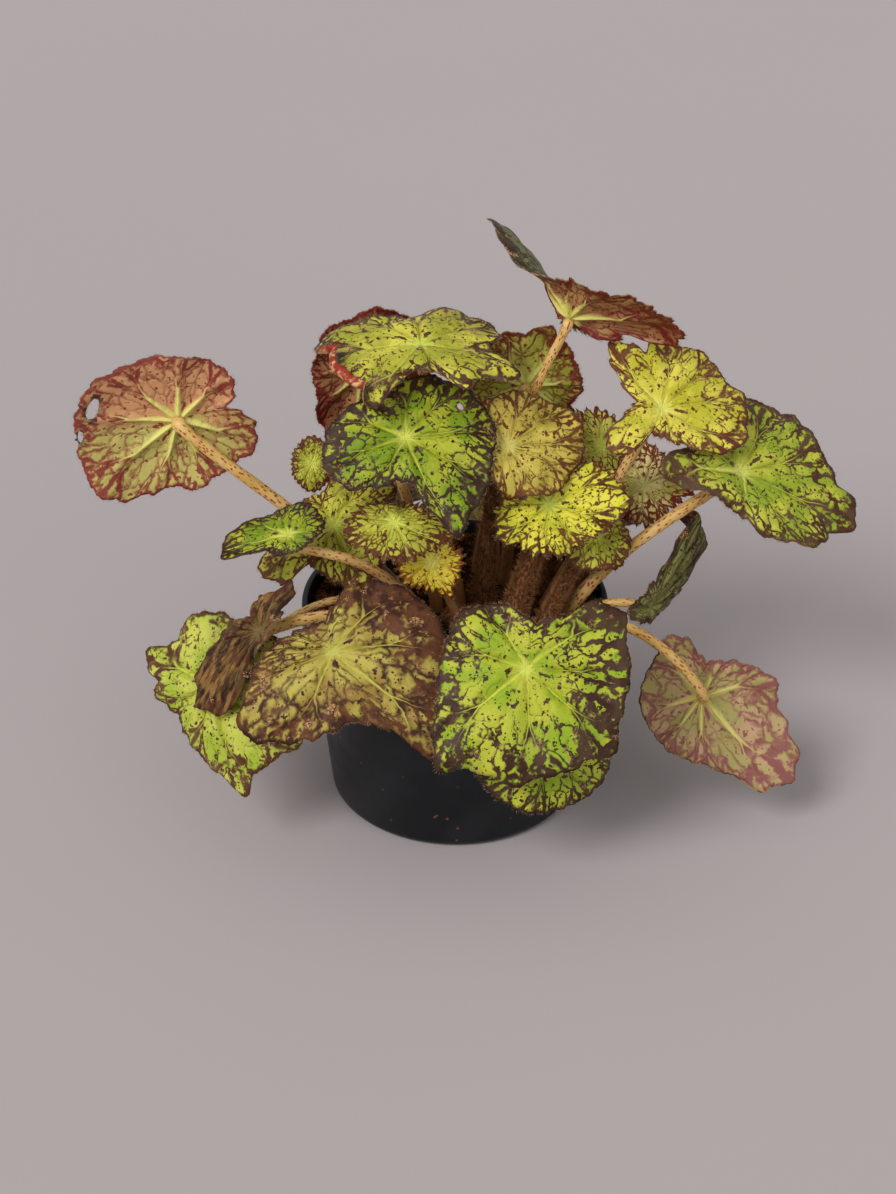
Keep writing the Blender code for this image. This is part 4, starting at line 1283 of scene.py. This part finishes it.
def cut_out(target, shape):
    """Cut the closed bodies of a bmesh out of an object's mesh."""
    cutter = new_object("cutter", new_mesh("cutter", shape))
    cut = target.modifiers.new("Cut", "BOOLEAN")
    cut.operation = "DIFFERENCE"
    cut.object = cutter
    cut.use_self = True
    seen = target.evaluated_get(bpy.context.evaluated_depsgraph_get())
    done = bpy.data.meshes.new_from_object(seen)
    target.modifiers.remove(cut)
    target.data = done
    bpy.data.objects.remove(cutter)


def pot_material(settings):
    """Moulded charcoal plastic, finely grained, with specks of dried peat and a dusty bloom."""
    finish = Finish("pot_plastic", 0.45, 0.3)
    finish.set(finish.shader["Specular Tint"], (0.8, 0.92, 1.0, 1.0))
    place = finish.world()
    cloud = finish.above(finish.noise(place, 34.0, 3.0), 0.4, 0.7)
    body = finish.mix(cloud, (*settings.plastic, 1), (*settings.bloom, 1))
    near, (pick, shade, _) = finish.cells(place, 240.0)
    speck = finish.below(near, 0.1, 0.2) * finish.math("LESS_THAN", pick, 0.3)
    speck_colour = finish.mix(shade, screen(14, 10, 8), screen(118, 66, 36))
    finish.colour(finish.mix(speck, body, speck_colour))
    finish.set(finish.shader["Roughness"], finish.change(cloud, 0.0, 1.0, 0.34, 0.5))
    finish.bump(finish.noise(place, 1800.0) + speck * 2.0, 0.25, 0.15)
    return finish.material


def peat_material(settings):
    """Near-black peat with brown fibres."""
    finish = Finish("peat", 0.95, 0.1)
    place = finish.world()
    grain = finish.noise(place, 420.0, 5.0)
    body = finish.mix(finish.above(grain, 0.4, 0.62), (*settings.peat, 1), screen(58, 36, 22))
    fibre = finish.below(abs(finish.noise(place, 150.0, 3.0) - 0.5), 0.004, 0.02)
    finish.colour(finish.mix(fibre, body, screen(120, 66, 30)))
    finish.bump(grain, 0.9, 1.2)
    return finish.material


def crumb_material(settings):
    """Crumbs of bark and peat, from near black to orange-brown."""
    finish = Finish("crumbs", 0.9, 0.15)
    place = finish.world()
    pick = finish.above(finish.noise(place, 190.0, 1.0), 0.4, 0.62)
    finish.colour(finish.mix(pick, screen(30, 19, 13), (*settings.crumb, 1)))
    finish.bump(finish.noise(place, 900.0, 3.0), 0.6, 0.4)
    return finish.material


def floor_material(settings):
    """Matt paper that pales a little from place to place."""
    finish = Finish("floor_paper", 0.9, 0.1)
    paler = [channel * 1.03 for channel in settings.floor]
    patches = finish.noise(finish.world(), 3.0)
    finish.colour(finish.mix(patches, (*settings.floor, 1), (*paler, 1)))
    return finish.material


def add_light(name, place, angle, power):
    """A soft sun that shines on the plant from a place; angle is its width in the sky."""
    lamp = bpy.data.lights.new(name, "SUN")
    lamp.angle = math.radians(angle)
    lamp.energy = power
    made = new_object(name, lamp)
    made.location = place
    aim = Vector(LIGHT_AIM) - Vector(place)
    made.rotation_euler = aim.to_track_quat("-Z", "Y").to_euler()


def add_camera(settings):
    """The camera in front of the plant, looking down on it."""
    down = settings.elevation
    raised = Vector((0, math.sin(down), math.cos(down))) * CAMERA_RAISE
    back = Vector((0, -math.cos(down), math.sin(down))) * settings.distance
    lens = bpy.data.cameras.new("camera")
    lens.lens = settings.lens
    camera = new_object("camera", lens)
    camera.location = Vector(CAMERA_AIM) + raised + back
    camera.rotation_euler = (math.pi / 2 - down, 0, 0)
    bpy.context.scene.camera = camera


def size_setting(name, description, size):
    """A length; size is in millimetres."""
    return FloatProperty(name=name, description=description, default=size * MM, unit="LENGTH")


def count_setting(name, description, count):
    """A whole number."""
    return IntProperty(name=name, description=description, default=count)


def colour_setting(name, description, *shade):
    """A colour; shade is red, green and blue as 0 to 255 on a screen."""
    return FloatVectorProperty(name=name, description=description, subtype="COLOR",
                               default=screen(*shade)[:3])


class BegoniaBladeSettings(bpy.types.PropertyGroup):
    """Sizes of the blades."""

    thickness: size_setting("Thickness", "Thickness of a blade", 0.5)
    swell: size_setting("Swell", "Rise of the fields between the main veins", 2.3)
    pucker: size_setting("Pucker", "Height of the fine puckers", 0.5)
    wave: size_setting("Wave", "Height of the broad waves near the margin", 2.6)
    tooth_depth: size_setting("Tooth depth", "Half height of a large tooth", 0.7)
    small_tooth_depth: size_setting("Small tooth depth", "Half height of a small tooth", 0.4)
    rings: count_setting("Rings", "Rings of faces from hub to margin", 20)


class BegoniaHairSettings(bpy.types.PropertyGroup):
    """Sizes and numbers of the hairs."""

    length: size_setting("Length", "Length of a hair on a leaf", 1.6)
    radius: size_setting("Radius", "Radius of a hair at its root", 0.06)
    margin_spacing: size_setting("Margin spacing", "Length of margin for each bristle", 0.4)
    surface_spacing: size_setting("Surface spacing", "Gap between hairs on the upper side", 2.6)
    shag_length: size_setting("Shag length", "Length of the brown hair on young stalks", 3.8)
    stalk_count: count_setting("Stalk hairs", "Hairs on a smooth stalk", 160)
    young_count: count_setting("Young hairs", "More hairs on a stalk with a little shag", 900)
    shag_count: count_setting("Shag hairs", "Hairs on a shaggy stalk", 3600)
    rhizome_count: count_setting("Rhizome hairs", "Hairs on the rhizome", 1500)


class BegoniaStalkSettings(bpy.types.PropertyGroup):
    """Grids of the stalks and the rhizome."""

    sides: count_setting("Sides", "Faces round a stalk", 14)
    steps: count_setting("Steps", "Points along a stalk", 42)


class BegoniaSoilSettings(bpy.types.PropertyGroup):
    """Sizes and colours of the soil."""

    sides: count_setting("Sides", "Faces round the soil", 144)
    crumbs: count_setting("Crumbs", "Number of loose crumbs", 2200)
    crumb_size: size_setting("Crumb size", "Radius of a large crumb", 1.7)
    peat: colour_setting("Peat", "Colour of the damp peat", 26, 18, 13)
    crumb: colour_setting("Crumb", "Colour of the palest crumbs", 126, 72, 36)


class BegoniaPotSettings(bpy.types.PropertyGroup):
    """Grid and colours of the pot."""

    sides: count_setting("Sides", "Faces round the pot", 144)
    plastic: colour_setting("Plastic", "Colour of the pot", 13, 14, 16)
    bloom: colour_setting("Bloom", "Colour of the dusty places", 28, 28, 30)


class BegoniaStageSettings(bpy.types.PropertyGroup):
    """Camera and floor."""

    floor: colour_setting("Floor", "Colour of the floor", 179, 170, 170)
    elevation: FloatProperty(name="Elevation", description="How far the camera looks down",
                             default=math.radians(33), subtype="ANGLE")
    distance: size_setting("Distance", "From the camera to the plant", 1105.5)
    lens: FloatProperty(name="Lens", description="Focal length in millimetres", default=85)


class BegoniaSettings(bpy.types.PropertyGroup):
    """Everything that can be changed."""

    blades: PointerProperty(type=BegoniaBladeSettings)
    hairs: PointerProperty(type=BegoniaHairSettings)
    stalks: PointerProperty(type=BegoniaStalkSettings)
    soil: PointerProperty(type=BegoniaSoilSettings)
    pot: PointerProperty(type=BegoniaPotSettings)
    stage: PointerProperty(type=BegoniaStageSettings)


class BegoniaAddBlades(bpy.types.Operator):
    """Build the blade of each leaf"""

    bl_idname = "begonia.add_blades"
    bl_label = "Blades"

    def execute(self, context):
        for leaf in LEAVES:
            make_blade(leaf, context.scene.begonia.blades)
        return {"FINISHED"}


class BegoniaAddStalks(bpy.types.Operator):
    """Build the petiole of each leaf and the rhizome"""

    bl_idname = "begonia.add_stalks"
    bl_label = "Stalks and rhizome"

    def execute(self, context):
        settings = context.scene.begonia.stalks
        smooth = petiole_material()
        shaggy = shaggy_material()
        for leaf in LEAVES:
            shape = tube(*petiole_rod(leaf, settings.steps), settings.sides, PETIOLE_BUMPS)
            material = shaggy if leaf.shag > 1 else smooth
            made = add_piece("stalk_" + leaf.name, shape, [material])
            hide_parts("petiole_" + leaf.name)
        shape = tube(*rhizome_rod(), settings.sides, RHIZOME_BUMPS)
        made = add_piece("rootstock", shape, [shaggy])
        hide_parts("rhizome")
        return {"FINISHED"}


class BegoniaAddHairs(bpy.types.Operator):
    """Build the hairs of the leaves, the stalks and the rhizome"""

    bl_idname = "begonia.add_hairs"
    bl_label = "Hairs"

    def execute(self, context):
        settings = context.scene.begonia.hairs
        hair = hair_template()
        pale = hair_material("pale_hair", (208, 188, 152), (128, 94, 64))
        brown = hair_material("brown_hair", (196, 138, 82), (100, 58, 32))
        for leaf in LEAVES:
            shape = make_leaf_hairs(leaf, hair, settings)
            add_piece("hairs_" + leaf.name, shape, [pale])
            if leaf.shag > 1:
                hairs = (settings.shag_count, settings.shag_length,
                         settings.radius * SHAG_STOUTNESS, SHAG_LEAN)
            else:
                hairs = (settings.stalk_count + settings.young_count * leaf.shag,
                         settings.length, settings.radius, HAIR_LEAN)
            rod = petiole_rod(leaf, context.scene.begonia.stalks.steps)
            shape = make_stalk_hairs("stalk " + leaf.name, rod, hair, *hairs)
            add_piece("stalk_hairs_" + leaf.name, shape, [brown])
        shape = make_stalk_hairs("rhizome", rhizome_rod(), hair, settings.rhizome_count,
                                 settings.shag_length, settings.radius * RHIZOME_STOUTNESS,
                                 HAIR_LEAN)
        add_piece("rootstock_hairs", shape, [brown])
        bpy.data.meshes.remove(hair)
        return {"FINISHED"}


class BegoniaAddSoil(bpy.types.Operator):
    """Build the soil and its loose crumbs"""

    bl_idname = "begonia.add_soil"
    bl_label = "Soil"

    def execute(self, context):
        settings = context.scene.begonia.soil
        edge = inner_radius(SOIL_LEVEL) - CLEARANCE
        shape = spun(soil_profile(edge), settings.sides)
        for vert in shape.verts:
            place = vert.co / MM
            if place.z < SOIL_LEVEL - 1:
                continue
            if place.xy.length < edge - 0.5:
                place.z += sum(height * noise.noise(place / spacing)
                               for height, spacing in SOIL_LUMPS)
            vert.co = heaped(place) * MM
        made = add_piece("soil_body", shape, [peat_material(settings)])
        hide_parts("soil")
        draw = random.Random("crumbs")
        shape = bmesh.new()
        for _ in range(settings.crumbs):
            add_crumb(shape, draw, edge - CRUMB_MARGIN, settings.crumb_size)
        made = add_piece("soil_crumbs", shape, [crumb_material(settings)])
        made.data.shade_flat()
        return {"FINISHED"}


class BegoniaAddPot(bpy.types.Operator):
    """Build the nursery pot"""

    bl_idname = "begonia.add_pot"
    bl_label = "Pot"

    def execute(self, context):
        settings = context.scene.begonia.pot
        shape = spun(pot_profile(), settings.sides)
        made = add_piece("pot_body", shape, [pot_material(settings)])
        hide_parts("pot")
        drill = bmesh.new()
        radius = DRAIN_RADIUS * MM
        for hole in range(DRAIN_HOLES):
            place = toward(360 * (hole + 0.5) / DRAIN_HOLES).to_3d() * DRAIN_RING * MM
            bmesh.ops.create_cone(drill, cap_ends=True, segments=DRAIN_SIDES, radius1=radius,
                                  radius2=radius, depth=DRILL_LENGTH * MM,
                                  matrix=Matrix.Translation(place))
        cut_out(made, drill)
        made.data.set_sharp_from_angle(angle=math.radians(SHARP_EDGE))
        return {"FINISHED"}


class BegoniaAddStage(bpy.types.Operator):
    """Build the floor, the lights and the camera"""

    bl_idname = "begonia.add_stage"
    bl_label = "Stage"

    def execute(self, context):
        settings = context.scene.begonia.stage
        shape = bmesh.new()
        bmesh.ops.create_circle(shape, cap_ends=True, segments=FLOOR_SIDES, radius=FLOOR_RADIUS)
        floor = new_object("floor", new_mesh("floor", shape))
        floor.data.materials.append(floor_material(settings))
        for light in LIGHTS:
            add_light(*light)
        world = bpy.data.worlds.new("studio")
        world.use_nodes = True
        sky = world.node_tree.nodes["Background"]
        sky.inputs["Color"].default_value = (1, 1, 1, 1)
        sky.inputs["Strength"].default_value = SKY
        context.scene.world = world
        context.scene.view_settings.view_transform = "Standard"
        add_camera(settings)
        return {"FINISHED"}


class BegoniaPanel(bpy.types.Panel):
    """Sidebar panel with a button for each group of pieces"""

    bl_idname = "BEGONIA_PT_panel"
    bl_label = "Potted rex begonia"
    bl_space_type = "VIEW_3D"
    bl_region_type = "UI"
    bl_category = "Begonia"

    def draw(self, context):
        settings = context.scene.begonia
        for operator, group in ((BegoniaAddBlades, settings.blades),
                                (BegoniaAddStalks, settings.stalks),
                                (BegoniaAddHairs, settings.hairs),
                                (BegoniaAddSoil, settings.soil),
                                (BegoniaAddPot, settings.pot),
                                (BegoniaAddStage, settings.stage)):
            box = self.layout.box()
            for name in group.bl_rna.properties.keys():
                if name not in ("rna_type", "name"):
                    box.prop(group, name)
            box.operator(operator.bl_idname)


CLASSES = (BegoniaBladeSettings, BegoniaHairSettings, BegoniaStalkSettings, BegoniaSoilSettings,
           BegoniaPotSettings, BegoniaStageSettings, BegoniaSettings, BegoniaAddBlades,
           BegoniaAddStalks, BegoniaAddHairs, BegoniaAddSoil, BegoniaAddPot, BegoniaAddStage,
           BegoniaPanel)


def register():
    for made in CLASSES:
        bpy.utils.register_class(made)
    bpy.types.Scene.begonia = PointerProperty(type=BegoniaSettings)


def unregister():
    del bpy.types.Scene.begonia
    for made in reversed(CLASSES):
        bpy.utils.unregister_class(made)


def main():
    register()
    bpy.ops.begonia.add_blades()
    bpy.ops.begonia.add_stalks()
    bpy.ops.begonia.add_hairs()
    bpy.ops.begonia.add_soil()
    bpy.ops.begonia.add_pot()
    bpy.ops.begonia.add_stage()


if __name__ == "__main__":
    main()
